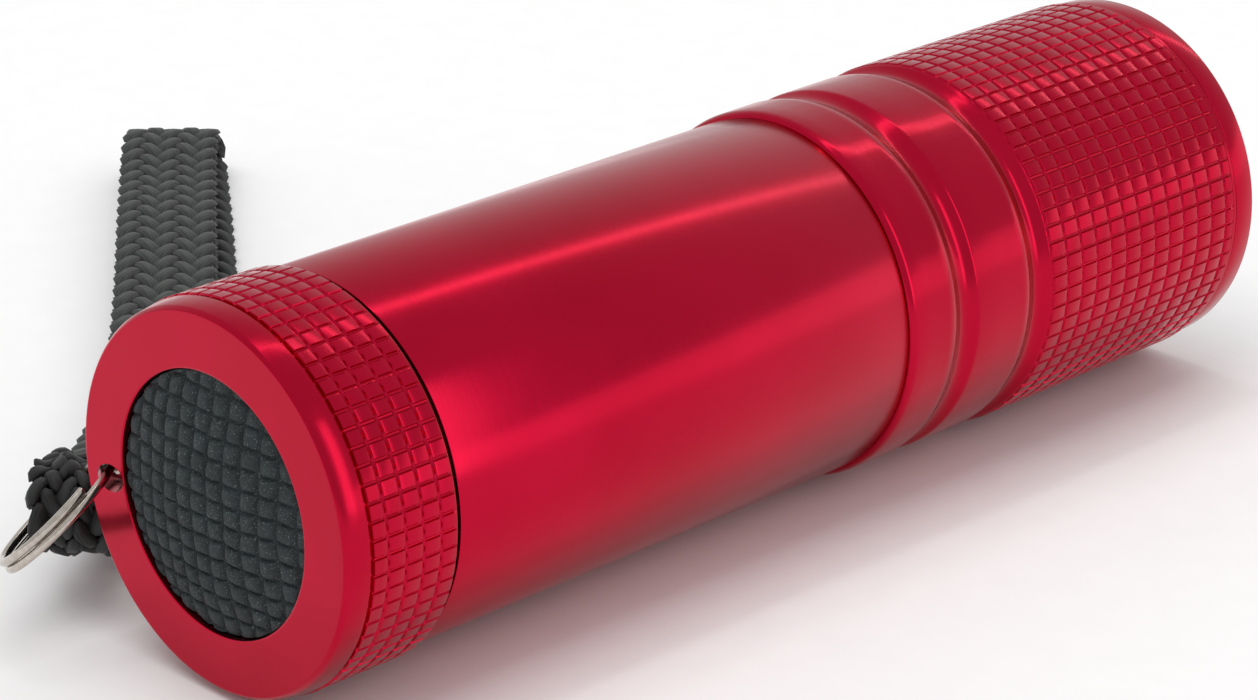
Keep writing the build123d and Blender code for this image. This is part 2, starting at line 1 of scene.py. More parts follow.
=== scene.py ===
"""Pocket torch in red anodised aluminium: knurled head and tail cap, rubber tail button,
split ring and a braided wrist strap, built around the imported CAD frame."""
import json
import logging
import math
from dataclasses import dataclass, field
from enum import Enum
from typing import Any, Dict, List, Optional, Sequence, Tuple

import bmesh
import bpy
import numpy as np
from mathutils import Matrix, Vector

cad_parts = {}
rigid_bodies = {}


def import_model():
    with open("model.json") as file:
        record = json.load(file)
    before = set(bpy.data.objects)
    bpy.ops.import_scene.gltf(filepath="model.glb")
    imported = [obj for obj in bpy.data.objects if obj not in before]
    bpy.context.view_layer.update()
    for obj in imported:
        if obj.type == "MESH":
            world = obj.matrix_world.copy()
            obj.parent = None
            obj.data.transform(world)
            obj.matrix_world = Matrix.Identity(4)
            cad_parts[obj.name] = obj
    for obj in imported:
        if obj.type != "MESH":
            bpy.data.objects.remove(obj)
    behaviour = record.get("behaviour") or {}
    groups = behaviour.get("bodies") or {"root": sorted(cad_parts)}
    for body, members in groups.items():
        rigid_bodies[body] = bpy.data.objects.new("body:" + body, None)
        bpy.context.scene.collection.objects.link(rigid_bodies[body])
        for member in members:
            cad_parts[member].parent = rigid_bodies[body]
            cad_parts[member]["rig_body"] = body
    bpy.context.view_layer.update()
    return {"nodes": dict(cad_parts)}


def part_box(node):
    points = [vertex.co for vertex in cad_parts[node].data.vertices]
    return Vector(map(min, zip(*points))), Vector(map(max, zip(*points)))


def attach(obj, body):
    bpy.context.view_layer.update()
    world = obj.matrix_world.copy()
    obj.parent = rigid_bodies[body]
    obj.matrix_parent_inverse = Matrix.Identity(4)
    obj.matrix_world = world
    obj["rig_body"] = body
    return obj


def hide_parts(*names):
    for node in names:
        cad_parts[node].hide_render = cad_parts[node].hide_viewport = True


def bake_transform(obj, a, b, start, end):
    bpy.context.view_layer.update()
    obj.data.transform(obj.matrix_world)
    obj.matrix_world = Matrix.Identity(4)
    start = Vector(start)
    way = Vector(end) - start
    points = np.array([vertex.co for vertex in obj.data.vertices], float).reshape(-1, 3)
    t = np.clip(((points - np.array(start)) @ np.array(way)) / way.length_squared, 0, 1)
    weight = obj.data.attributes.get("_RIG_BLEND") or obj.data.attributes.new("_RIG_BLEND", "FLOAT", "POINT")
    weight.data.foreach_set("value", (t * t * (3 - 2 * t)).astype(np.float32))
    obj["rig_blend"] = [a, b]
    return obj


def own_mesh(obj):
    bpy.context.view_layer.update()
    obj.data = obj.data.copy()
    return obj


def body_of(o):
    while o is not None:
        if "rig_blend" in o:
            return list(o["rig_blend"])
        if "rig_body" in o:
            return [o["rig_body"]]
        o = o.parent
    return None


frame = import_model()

LOG = logging.getLogger("torch")
MM = 0.001
Array = np.ndarray
Profile = Sequence[Tuple[float, float]]

# The tail cap's slanted lanyard hole, in torch millimetres: the ring follows it.
CAP_CREST = 13.35                      # radius of the cap's knurl, where the hole comes out
HOLE_FACE_RADIUS = 10.4                # where it opens in the tail face
HOLE_TURN = math.radians(-7.6)         # its turn round the torch from +Y
HOLE_SLANT = math.radians(45)


# --------------------------------------------------------------------------- colour and nodes
def linear(hex_colour: str, alpha: float = 1.0) -> Tuple[float, float, float, float]:
    """Turns an sRGB hex colour to linear light.

    Args:
        hex_colour: Six hex digits after a hash.
        alpha: Fourth value of the result.

    Returns:
        Linear red, green, blue and alpha.
    """
    parts = [int(hex_colour[i:i + 2], 16) / 255 for i in (1, 3, 5)]
    curve = [c / 12.92 if c <= 0.04045 else ((c + 0.055) / 1.055) ** 2.4 for c in parts]
    return (curve[0], curve[1], curve[2], alpha)


def add(tree: bpy.types.NodeTree, kind: str, settings: Optional[Dict[Any, Any]] = None,
        links: Optional[Dict[Any, Any]] = None) -> bpy.types.Node:
    """Adds one node with its settings and links.

    Args:
        tree: Node tree that gets the node.
        kind: Blender's name of the node type.
        settings: Node properties by name, or input values by socket name or number.
        links: Output sockets by the name or number of the input that they feed.

    Returns:
        The new node.
    """
    node = tree.nodes.new(kind)
    for key, value in (settings or {}).items():
        if isinstance(key, str) and hasattr(node, key):
            setattr(node, key, value)
        else:
            node.inputs[key].default_value = value
    for key, socket in (links or {}).items():
        tree.links.new(socket, node.inputs[key])
    return node


def ramp(tree: bpy.types.NodeTree, source: bpy.types.NodeSocket,
         stops: Sequence[Tuple[float, str]]) -> bpy.types.NodeSocket:
    """Adds a colour ramp.

    Args:
        tree: Node tree that gets the ramp.
        source: Socket that drives it.
        stops: Places from 0 to 1 and their hex colours.

    Returns:
        The ramp's colour socket.
    """
    node = add(tree, "ShaderNodeValToRGB", links={0: source})
    elements = node.color_ramp.elements
    while len(elements) < len(stops):
        elements.new(0.5)
    for element, (place, colour) in zip(elements, stops):
        element.position = place
        element.color = linear(colour)
    return node.outputs["Color"]


# --------------------------------------------------------------------------- finishes
@dataclass(frozen=True)
class Finish:
    """A procedural surface finish with plain shader values."""

    name: str
    colour: str
    roughness: float
    metallic: float = 0.0
    ior: float = 1.5
    coat: float = 0.0
    coat_roughness: float = 0.1
    transmission: float = 0.0
    sheen: float = 0.0
    grain_mm: float = 0.5
    bump_mm: float = 0.01
    spread: float = 0.06       # how far the roughness wanders
    second: str = ""

    def material(self) -> bpy.types.Material:
        """Makes the material, or hands back the one made before."""
        made = bpy.data.materials.get(self.name)
        if made is not None:
            return made
        made = bpy.data.materials.new(self.name)
        made.use_nodes = True
        tree = made.node_tree
        tree.nodes.clear()
        shader = add(tree, "ShaderNodeBsdfPrincipled", {
            "Base Color": linear(self.colour), "Roughness": self.roughness,
            "Metallic": self.metallic,
        })
        if self.metallic < 0.5:
            shader.inputs["IOR"].default_value = self.ior
        if self.coat:
            shader.inputs["Coat Weight"].default_value = self.coat
            shader.inputs["Coat Roughness"].default_value = self.coat_roughness
        if self.transmission:
            shader.inputs["Transmission Weight"].default_value = self.transmission
        if self.sheen:
            shader.inputs["Sheen Weight"].default_value = self.sheen
            shader.inputs["Sheen Roughness"].default_value = 0.4
        self.dress(tree, shader)
        add(tree, "ShaderNodeOutputMaterial", links={"Surface": shader.outputs[0]})
        made.diffuse_color = linear(self.colour)
        return made

    def where(self, tree: bpy.types.NodeTree,
              scale: Tuple[float, float, float] = (1, 1, 1)) -> bpy.types.NodeSocket:
        """Object coordinates in millimetres, stretched by scale."""
        place = add(tree, "ShaderNodeTexCoord").outputs["Object"]
        mapping = add(tree, "ShaderNodeMapping",
                      {"Scale": tuple(s / MM for s in scale)}, {"Vector": place})
        return mapping.outputs[0]

    def noise(self, tree: bpy.types.NodeTree, size_mm: float, detail: float = 3.0,
              stretch: Tuple[float, float, float] = (1, 1, 1)) -> bpy.types.NodeSocket:
        """Noise whose blotches are about size_mm across."""
        return add(tree, "ShaderNodeTexNoise", {"Scale": 1 / size_mm, "Detail": detail},
                   {"Vector": self.where(tree, stretch)}).outputs[0]

    def bump(self, tree: bpy.types.NodeTree, shader: bpy.types.Node,
             height: bpy.types.NodeSocket, depth_mm: float) -> None:
        """Feeds a height in 0 to 1 into the shader's normal, depth_mm deep."""
        node = add(tree, "ShaderNodeBump", {"Strength": 1.0, "Distance": depth_mm * MM},
                   {"Height": height})
        tree.links.new(node.outputs[0], shader.inputs["Normal"])
        if shader.inputs["Coat Weight"].default_value:
            tree.links.new(node.outputs[0], shader.inputs["Coat Normal"])

    def vary(self, tree: bpy.types.NodeTree, shader: bpy.types.Node,
             source: bpy.types.NodeSocket) -> None:
        """Lets the roughness wander with source."""
        node = add(tree, "ShaderNodeMapRange", {
            "To Min": self.roughness - self.spread, "To Max": self.roughness + self.spread,
        }, {"Value": source})
        tree.links.new(node.outputs[0], shader.inputs["Roughness"])

    def dress(self, tree: bpy.types.NodeTree, shader: bpy.types.Node) -> None:
        """Adds the finish's own pattern: a fine grain with a slight change of tone."""
        grain = self.noise(tree, self.grain_mm)
        tone = ramp(tree, grain, [(0.3, self.colour), (0.75, self.second or self.colour)])
        tree.links.new(tone, shader.inputs["Base Color"])
        self.vary(tree, shader, grain)
        self.bump(tree, shader, grain, self.bump_mm)


@dataclass(frozen=True)
class AnodisedAluminium(Finish):
    """Turned aluminium, clear red anodised: satin metal under a hard glassy oxide skin."""

    ring_mm: float = 0.12      # feed marks of the lathe, drawn wider than the real 0.05
    cloud_mm: float = 9.0      # patches of thinner dye
    spread: float = 0.05

    def dress(self, tree: bpy.types.NodeTree, shader: bpy.types.Node) -> None:
        """Adds feed marks round the axis and a faint unevenness of the dye."""
        marks = self.noise(tree, self.ring_mm, 2.0, (1, 0.02, 0.02))
        cloud = self.noise(tree, self.cloud_mm, 2.0)
        tone = ramp(tree, cloud, [(0.3, self.colour), (0.7, self.second)])
        tree.links.new(tone, shader.inputs["Base Color"])
        self.vary(tree, shader, marks)
        self.bump(tree, shader, marks, self.bump_mm)


@dataclass(frozen=True)
class DustyRubber(Finish):
    """Moulded silicone rubber: matt slate grey with pale dust caught in its pores."""

    dust: str = "#6E7473"
    pore_mm: float = 0.16
    speck_mm: float = 0.10
    blotch_mm: float = 1.3
    dust_from: float = 0.60    # specks show from here in their noise
    dust_to: float = 0.74      # and are full here

    def dress(self, tree: bpy.types.NodeTree, shader: bpy.types.Node) -> None:
        """Adds pores and specks of dust."""
        pores = self.noise(tree, self.pore_mm, 4.0)
        specks = self.noise(tree, self.speck_mm, 2.0)
        mask = add(tree, "ShaderNodeMapRange",
                   {"From Min": self.dust_from, "From Max": self.dust_to},
                   {"Value": specks}).outputs[0]
        blotches = self.noise(tree, self.blotch_mm)
        base = ramp(tree, blotches, [(0.3, self.colour), (0.7, self.second)])
        mixed = add(tree, "ShaderNodeMix", {"data_type": "RGBA", 7: linear(self.dust)},
                    {0: mask, 6: base})
        tree.links.new(mixed.outputs[2], shader.inputs["Base Color"])
        self.bump(tree, shader, pores, self.bump_mm)


@dataclass(frozen=True)
class BraidedYarn(Finish):
    """Textured polypropylene yarn: charcoal filaments that run along each float, with painted shade on each
    float's sides where it meets its neighbours.
    """

    filament_mm: float = 0.09
    painted_shade_from: float = 0.22    # painted shade between floats starts here across a float
    painted_shade_to: float = 0.42      # and is full here

    def dress(self, tree: bpy.types.NodeTree, shader: bpy.types.Node) -> None:
        """Adds filaments along the float, read from the yarn's own map, and darkens the float's sides with
        painted shade.
        """
        place = add(tree, "ShaderNodeUVMap", {"uv_map": "yarn"}).outputs[0]
        drawn = add(tree, "ShaderNodeMapping", {"Scale": (0.5, 1 / self.filament_mm, 1)},
                    {"Vector": place}).outputs[0]
        lines = add(tree, "ShaderNodeTexNoise", {"Scale": 1.0, "Detail": 2.0},
                    {"Vector": drawn}).outputs[0]
        tone = ramp(tree, lines, [(0.34, self.colour), (0.66, self.second)])
        # painted shade: the float's sides, where floats meet, are multiplied toward near black
        parts = add(tree, "ShaderNodeSeparateXYZ", links={0: place})
        side = add(tree, "ShaderNodeMath", {"operation": "ABSOLUTE"}, {0: parts.outputs[1]})
        shade = ramp(tree, side.outputs[0], [(self.painted_shade_from, "#FFFFFF"),
                                             (self.painted_shade_to, "#161616")])
        mixed = add(tree, "ShaderNodeMix",
                    {"data_type": "RGBA", "blend_type": "MULTIPLY", 0: 1.0},
                    {6: tone, 7: shade})
        tree.links.new(mixed.outputs[2], shader.inputs["Base Color"])
        self.bump(tree, shader, lines, self.bump_mm)


@dataclass(frozen=True)
class CellSleeve(Finish):
    """Printed shrink film on a battery: plain bands of colour along its length."""

    start_x_mm: float = 0.0
    length_mm: float = 47.2
    metal: str = "#B9BCC0"     # bare can at both ends

    def dress(self, tree: bpy.types.NodeTree, shader: bpy.types.Node) -> None:
        """Adds the bands and the film's faint ripple."""
        place = self.where(tree)
        split = add(tree, "ShaderNodeSeparateXYZ", links={0: place})
        share = add(tree, "ShaderNodeMapRange", {
            "From Min": self.start_x_mm, "From Max": self.start_x_mm + self.length_mm,
        }, {"Value": split.outputs[0]}).outputs[0]
        node = add(tree, "ShaderNodeValToRGB", links={0: share})
        node.color_ramp.interpolation = "CONSTANT"
        elements = node.color_ramp.elements
        for place_on, colour in ((0.06, self.metal), (0.10, self.colour), (0.72, self.second)):
            elements.new(place_on).color = linear(colour)
        elements[0].color = linear(self.metal)
        elements[-1].position = 0.93
        elements[-1].color = linear(self.metal)
        tree.links.new(node.outputs[0], shader.inputs["Base Color"])
        self.bump(tree, shader, self.noise(tree, 2.0), self.bump_mm)


# Red dye in the oxide skin of turned aluminium: saturated, mirror-like along a strip light.
RED_ANODISED = AnodisedAluminium("red anodised aluminium", "#BE0A31", 0.2, 1.0, coat=0.09,
                                 coat_roughness=0.15, bump_mm=0.0012, second="#B5082C")
# Silicone rubber: soft and matt, so its pads show by their grooves only.
BUTTON_RUBBER = DustyRubber("moulded silicone rubber", "#1D2325", 0.66, ior=1.43,
                            bump_mm=0.035, second="#293134")
# Nitrile rubber seals: darker and a little oily.
SEAL_RUBBER = Finish("nitrile rubber", "#17181A", 0.5, ior=1.52, grain_mm=0.3,
                     bump_mm=0.008, second="#1F2023")
# Nickel on hard spring wire: warm grey mirror with fine drawing lines.
NICKEL_WIRE = Finish("nickel plated spring wire", "#C9C1B8", 0.16, 1.0, grain_mm=0.35,
                     bump_mm=0.003, second="#B3AAA0")
# Stamped brass, nickel flashed: pale gold contacts.
BRASS = Finish("stamped brass", "#D9B45B", 0.28, 1.0, grain_mm=0.4, bump_mm=0.002,
               second="#C9A14B")
# Injection moulded ABS: even black with a fine spark texture.
BLACK_ABS = Finish("black moulded ABS", "#151617", 0.45, ior=1.53, grain_mm=0.12,
                   bump_mm=0.006, second="#1B1C1D")
WHITE_ABS = Finish("white moulded ABS", "#DEDDD6", 0.42, ior=1.53, grain_mm=0.15,
                   bump_mm=0.004, second="#D3D2CB")
# Glass fibre board under green resist.
CIRCUIT_BOARD = Finish("glass fibre board", "#1E5A34", 0.35, ior=1.55, coat=0.4,
                       grain_mm=0.5, bump_mm=0.004, second="#24683D")
# Clear acrylic window.
ACRYLIC = Finish("clear acrylic", "#FFFFFF", 0.03, ior=1.49, transmission=1.0,
                 grain_mm=6.0, bump_mm=0.0004, second="#FBFDFF")
# Clear epoxy of a round lamp.
LAMP_EPOXY = Finish("clear epoxy", "#F8FAFB", 0.06, ior=1.52, transmission=0.92,
                    grain_mm=2.0, bump_mm=0.0006, second="#FFFFFF")
# Vacuum plated plastic: bright mirror with slight orange peel.
PLATED_PLASTIC = Finish("vacuum plated plastic", "#E4E6E8", 0.1, 1.0, grain_mm=1.2,
                        bump_mm=0.004, second="#D8DADD")
PHOSPHOR = Finish("lamp phosphor", "#E8D35A", 0.6, ior=1.5, grain_mm=0.2, bump_mm=0.01,
                  second="#F0DD74")
# Polypropylene braid, dyed charcoal.
WEBBING = BraidedYarn("braided polypropylene yarn", "#131614", 0.6, ior=1.49, sheen=0.12,
                      bump_mm=0.05, second="#454A47")
# The same braid pulled tight and bunched, painted darker as shade for its folds.
SHADED_WEBBING = BraidedYarn("bunched polypropylene yarn", "#080A09", 0.6, ior=1.49,
                            sheen=0.08, bump_mm=0.05, second="#242826")
FLOOR = Finish("matt white paper", "#F4F4F4", 0.85, ior=1.45, grain_mm=3.0, bump_mm=0.002,
               second="#F6F6F6")


# --------------------------------------------------------------------------- geometry helpers
def even_angles(count: int) -> Array:
    """Angles in radians, once round, in equal steps."""
    return np.arange(count) * (2 * math.pi / count)


def distances(line: Array) -> Array:
    """Distance of each point of a line from its first, along it."""
    return np.concatenate([[0], np.cumsum(np.linalg.norm(np.diff(line, axis=0), axis=1))])


def link(name: str, data: Any) -> bpy.types.Object:
    """Makes an object of a mesh, curve, light or camera and puts it in the scene."""
    item = bpy.data.objects.new(name, data)
    bpy.context.scene.collection.objects.link(item)
    return item


def poured(shape: bmesh.types.BMesh, name: str) -> bpy.types.Mesh:
    """Turns a bmesh into a new mesh and frees it."""
    mesh = bpy.data.meshes.new(name)
    shape.to_mesh(mesh)
    shape.free()
    return mesh


def settled(item: bpy.types.Object) -> bpy.types.Mesh:
    """A plain mesh of what an object's modifiers or curve make."""
    bpy.context.view_layer.update()
    graph = bpy.context.evaluated_depsgraph_get()
    return bpy.data.meshes.new_from_object(item.evaluated_get(graph))


@dataclass(frozen=True)
class TorchAxis:
    """Where the torch's own millimetre axes lie in the row frame."""

    tail_x: float
    y: float
    z: float

    @classmethod
    def from_frame(cls) -> "TorchAxis":
        """Reads the axis from the tail cap's and the battery tube's boxes."""
        tube_low, tube_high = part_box("battery_tube")
        middle = (tube_low + tube_high) / 2
        return cls(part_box("tail_cap")[0].x, middle.y, middle.z)

    def matrix(self) -> Matrix:
        """Torch millimetres to row metres."""
        return Matrix.Translation((self.tail_x, self.y, self.z)) @ Matrix.Scale(MM, 4)

    def row(self, x: float, y: float, z: float) -> Tuple[float, float, float]:
        """One torch point in row metres."""
        return (self.tail_x + x * MM, self.y + y * MM, self.z + z * MM)


class Mould:
    """Collects surfaces in torch millimetres and turns them into one finished piece."""

    def __init__(self) -> None:
        """Starts empty."""
        self.points: List[Array] = []
        self.faces: List[Tuple[int, ...]] = []
        self.count = 0

    def put(self, points: Array, faces: Sequence[Sequence[int]]) -> None:
        """Adds a surface."""
        self.points.append(np.asarray(points, float).reshape(-1, 3))
        self.faces.extend(tuple(i + self.count for i in face) for face in faces)
        self.count += len(self.points[-1])

    def lathe(self, profile: Profile, angles: Array, closed: bool = True,
              y: float = 0.0, z: float = 0.0) -> None:
        """Revolves (x, radius) points round the axis at y, z.

        Args:
            profile: Outline; a radius of 0 makes a pole.
            angles: Angles in radians, once round.
            closed: Whether the outline's last point joins its first.
            y: Height of the axis along Y.
            z: Height of the axis along Z.
        """
        points: List[Tuple[float, float, float]] = []
        rings: List[List[int]] = []
        for x, radius in profile:
            if radius < 1e-9:
                rings.append([len(points)] * len(angles))
                points.append((x, y, z))
                continue
            rings.append(list(range(len(points), len(points) + len(angles))))
            points += [(x, y + radius * math.cos(a), z + radius * math.sin(a)) for a in angles]
        pairs = list(zip(rings, rings[1:])) + ([(rings[-1], rings[0])] if closed else [])
        faces = []
        for one, two in pairs:
            for i in range(len(angles)):
                j = (i + 1) % len(angles)
                corners = [one[i], one[j], two[j], two[i]]
                face = [c for k, c in enumerate(corners) if c != corners[k - 1]]
                if len(face) > 2:
                    faces.append(face)
        self.put(np.array(points), faces)

    def sweep(self, rings: Sequence[Array]) -> None:
        """Joins equal rings of points into a tube with flat ends."""
        size, last = len(rings[0]), (len(rings) - 1) * len(rings[0])
        faces: List[List[int]] = []
        for one in range(0, last, size):
            two = one + size
            for i in range(size):
                j = (i + 1) % size
                faces.append([one + i, one + j, two + j, two + i])
        faces.append(list(range(size))[::-1])
        faces.append([last + i for i in range(size)])
        self.put(np.vstack(rings), faces)

    def absorb(self, mesh: bpy.types.Mesh) -> None:
        """Adds a mesh that is in torch millimetres, and removes it."""
        points = np.empty(len(mesh.vertices) * 3)
        mesh.vertices.foreach_get("co", points)
        self.put(points, [tuple(p.vertices) for p in mesh.polygons])
        bpy.data.meshes.remove(mesh)

    def mesh(self, name: str, weld_mm: float = 0.002) -> bpy.types.Mesh:
        """Welds what was collected and points its faces outwards, in millimetres."""
        mesh = bpy.data.meshes.new(name)
        mesh.from_pydata(np.vstack(self.points).tolist(), [], self.faces)
        shape = bmesh.new()
        shape.from_mesh(mesh)
        bmesh.ops.remove_doubles(shape, verts=shape.verts, dist=weld_mm)
        bmesh.ops.dissolve_degenerate(shape, edges=shape.edges, dist=1e-5)
        bmesh.ops.recalc_face_normals(shape, faces=shape.faces)
        shape.to_mesh(mesh)
        shape.free()
        return mesh


class Bench:
    """Finishes pieces: places, dresses, and hangs them on their CAD bodies."""

    def __init__(self, axis: TorchAxis) -> None:
        """Keeps the torch's axis."""
        self.axis = axis

    def finish(self, mesh: bpy.types.Mesh, name: str, finish: Finish,
               sharp_degrees: float = 32.0) -> bpy.types.Object:
        """Turns a millimetre mesh into a placed, shaded and dressed object.

        Args:
            mesh: Mesh in torch millimetres.
            name: Piece's name.
            finish: Its finish.
            sharp_degrees: Angle past which an edge stays crisp.

        Returns:
            The object, at the origin with its place in its mesh.
        """
        mesh.transform(self.axis.matrix())
        return self.show(mesh, name, finish, sharp_degrees)

    def show(self, mesh: bpy.types.Mesh, name: str, finish: Finish,
             sharp_degrees: float = 32.0) -> bpy.types.Object:
        """Shades and dresses a mesh that is in row metres already."""
        mesh.name = name
        mesh.materials.clear()
        mesh.materials.append(finish.material())
        mesh.shade_smooth()
        mesh.set_sharp_from_angle(angle=math.radians(sharp_degrees))
        return link(name, mesh)

    def hang(self, piece: bpy.types.Object, nodes: Sequence[str],
             body: str = "") -> bpy.types.Object:
        """Lets a piece stand for CAD nodes and ride on their body.

        Args:
            piece: The finished piece.
            nodes: CAD nodes that it replaces.
            body: Body to ride on, or nothing for the first node's own.

        Returns:
            The piece.
        """
        if nodes:
            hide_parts(*nodes)
            body = body or body_of(frame["nodes"][nodes[0]])[0]
        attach(piece, body)
        LOG.info("%s: %d faces on %s", piece.name, len(piece.data.polygons), body)
        return piece


class GeometryTree:
    """A Geometry Nodes tree with named inputs, used once and turned into a plain mesh."""

    def __init__(self, name: str, inputs: Sequence[Tuple[str, str]]) -> None:
        """Makes the tree with a geometry input and the named ones."""
        self.tree = bpy.data.node_groups.new(name, "GeometryNodeTree")
        face = self.tree.interface
        face.new_socket(name="Geometry", in_out="INPUT", socket_type="NodeSocketGeometry")
        for label, kind in inputs:
            face.new_socket(name=label, in_out="INPUT", socket_type=kind)
        face.new_socket(name="Geometry", in_out="OUTPUT", socket_type="NodeSocketGeometry")
        self.start = self.tree.nodes.new("NodeGroupInput")

    def close(self, geometry: bpy.types.NodeSocket) -> None:
        """Ends the tree in Realize Instances and Set Material."""
        real = add(self.tree, "GeometryNodeRealizeInstances", links={0: geometry})
        dressed = add(self.tree, "GeometryNodeSetMaterial",
                      links={0: real.outputs[0], "Material": self.start.outputs["Finish"]})
        add(self.tree, "NodeGroupOutput", links={0: dressed.outputs[0]})

    def run(self, mesh: bpy.types.Mesh, values: Dict[str, Any]) -> bpy.types.Mesh:
        """Runs the tree on a mesh.

        Args:
            mesh: Input geometry.
            values: The named inputs' values.

        Returns:
            The result as a plain mesh.
        """
        holder = link(mesh.name, mesh)
        modifier = holder.modifiers.new(self.tree.name, "NODES")
        modifier.node_group = self.tree
        for item in self.tree.interface.items_tree:
            if item.item_type == "SOCKET" and item.in_out == "INPUT" and item.name in values:
                modifier[item.identifier] = values[item.name]
        result = settled(holder)
        bpy.data.objects.remove(holder)
        return result


# --------------------------------------------------------------------------- knurled grips
@dataclass
class Knurl:
    """Square-pad knurl: ring grooves and finer cross grooves cut in a turned crest."""

    radius: float
    columns: int = 70
    ring_depth: float = 0.22
    ring_half: float = 0.17
    cross_depth: float = 0.16
    cross_half: float = 0.15
    tree: Optional[GeometryTree] = None

    def width(self) -> float:
        """From one cross groove to the next, round the crest."""
        return 2 * math.pi * self.radius / self.columns

    def across(self) -> List[Tuple[float, float]]:
        """Distance round the crest from a cross groove, and its depth there."""
        width = self.width()
        half = [(0.0, self.cross_depth), (self.cross_half / 2, 0.85 * self.cross_depth),
                (self.cross_half, 0.0)]
        return half + [(width / 2, 0.0)] + [(width - v, d) for v, d in half[:0:-1]]

    def angles(self) -> Array:
        """Every angle that the cells use, so that plain turned parts can join them."""
        steps = [v / self.radius for v, _ in self.across()]
        pitch = 2 * math.pi / self.columns
        return np.array([k * pitch + a for k in range(self.columns) for a in steps])

    def groove(self, side: int) -> List[Tuple[float, float]]:
        """Half of a ring groove: distance from its middle, and depth."""
        shape = [(0.0, 1.0), (0.4, 0.86), (0.75, 0.4), (1.0, 0.08), (1.35, 0.0)]
        half = [(f * self.ring_half, d * self.ring_depth) for f, d in shape]
        return half if side > 0 else [(-x, d) for x, d in half[::-1]]

    def cell(self, axial: Sequence[Tuple[float, float]]) -> bpy.types.Mesh:
        """One pad with half of each groove round it, for x and depth pairs."""
        columns = self.across() + [(self.width(), self.cross_depth)]
        points, faces = [], []
        for x, ring in axial:
            for v, cross in columns:
                radius = self.radius - max(ring, cross)
                angle = v / self.radius
                points.append((x, radius * math.cos(angle), radius * math.sin(angle)))
        size = len(columns)
        for i in range(len(axial) - 1):
            for j in range(size - 1):
                a = i * size + j
                faces.append((a, a + 1, a + size + 1, a + size))
        mesh = bpy.data.meshes.new("knurl pad")
        mesh.from_pydata(points, [], faces)
        return mesh

    def pattern(self) -> GeometryTree:
        """The tree that repeats one pad round the axis and along it."""
        made = GeometryTree("knurl rows", [
            ("Rows", "NodeSocketInt"), ("Row pitch", "NodeSocketFloat"),
            ("Columns", "NodeSocketInt"), ("Finish", "NodeSocketMaterial"),
        ])
        tree, start = made.tree, made.start.outputs
        turn = add(tree, "ShaderNodeMath", {"operation": "DIVIDE", 0: 2 * math.pi},
                   {1: start["Columns"]})
        index = add(tree, "GeometryNodeInputIndex")
        angle = add(tree, "ShaderNodeMath", {"operation": "MULTIPLY"},
                    {0: index.outputs[0], 1: turn.outputs[0]})
        spin = add(tree, "ShaderNodeCombineXYZ", links={"X": angle.outputs[0]})
        turned = add(tree, "FunctionNodeEulerToRotation", links={0: spin.outputs[0]})
        ring = add(tree, "GeometryNodeMeshLine", {"Offset": (0, 0, 0)},
                   {"Count": start["Columns"]})
        round_axis = add(tree, "GeometryNodeInstanceOnPoints", links={
            "Points": ring.outputs[0], "Instance": start["Geometry"],
            "Rotation": turned.outputs[0],
        })
        step = add(tree, "ShaderNodeCombineXYZ", links={"X": start["Row pitch"]})
        line = add(tree, "GeometryNodeMeshLine", links={
            "Count": start["Rows"], "Offset": step.outputs[0],
        })
        along = add(tree, "GeometryNodeInstanceOnPoints", links={
            "Points": line.outputs[0], "Instance": round_axis.outputs[0],
        })
        made.close(along.outputs[0])
        return made

    def rows(self, mould: Mould, axial: Sequence[Tuple[float, float]], count: int,
             pitch: float, finish: Finish) -> None:
        """Adds rows of pads to a mould.

        Args:
            mould: Where the pads go.
            axial: Distance along the axis and depth, across one row.
            count: Number of rows.
            pitch: Distance between rows.
            finish: Their finish.
        """
        self.tree = self.tree or self.pattern()
        mould.absorb(self.tree.run(self.cell(axial), {
            "Rows": count, "Row pitch": pitch, "Columns": self.columns,
            "Finish": finish.material(),
        }))

    def full_row(self, start: float, pitch: float) -> List[Tuple[float, float]]:
        """From one ring groove's middle to the next."""
        return ([(start + x, d) for x, d in self.groove(1)] + [(start + pitch / 2, 0.0)]
                + [(start + pitch + x, d) for x, d in self.groove(-1)])


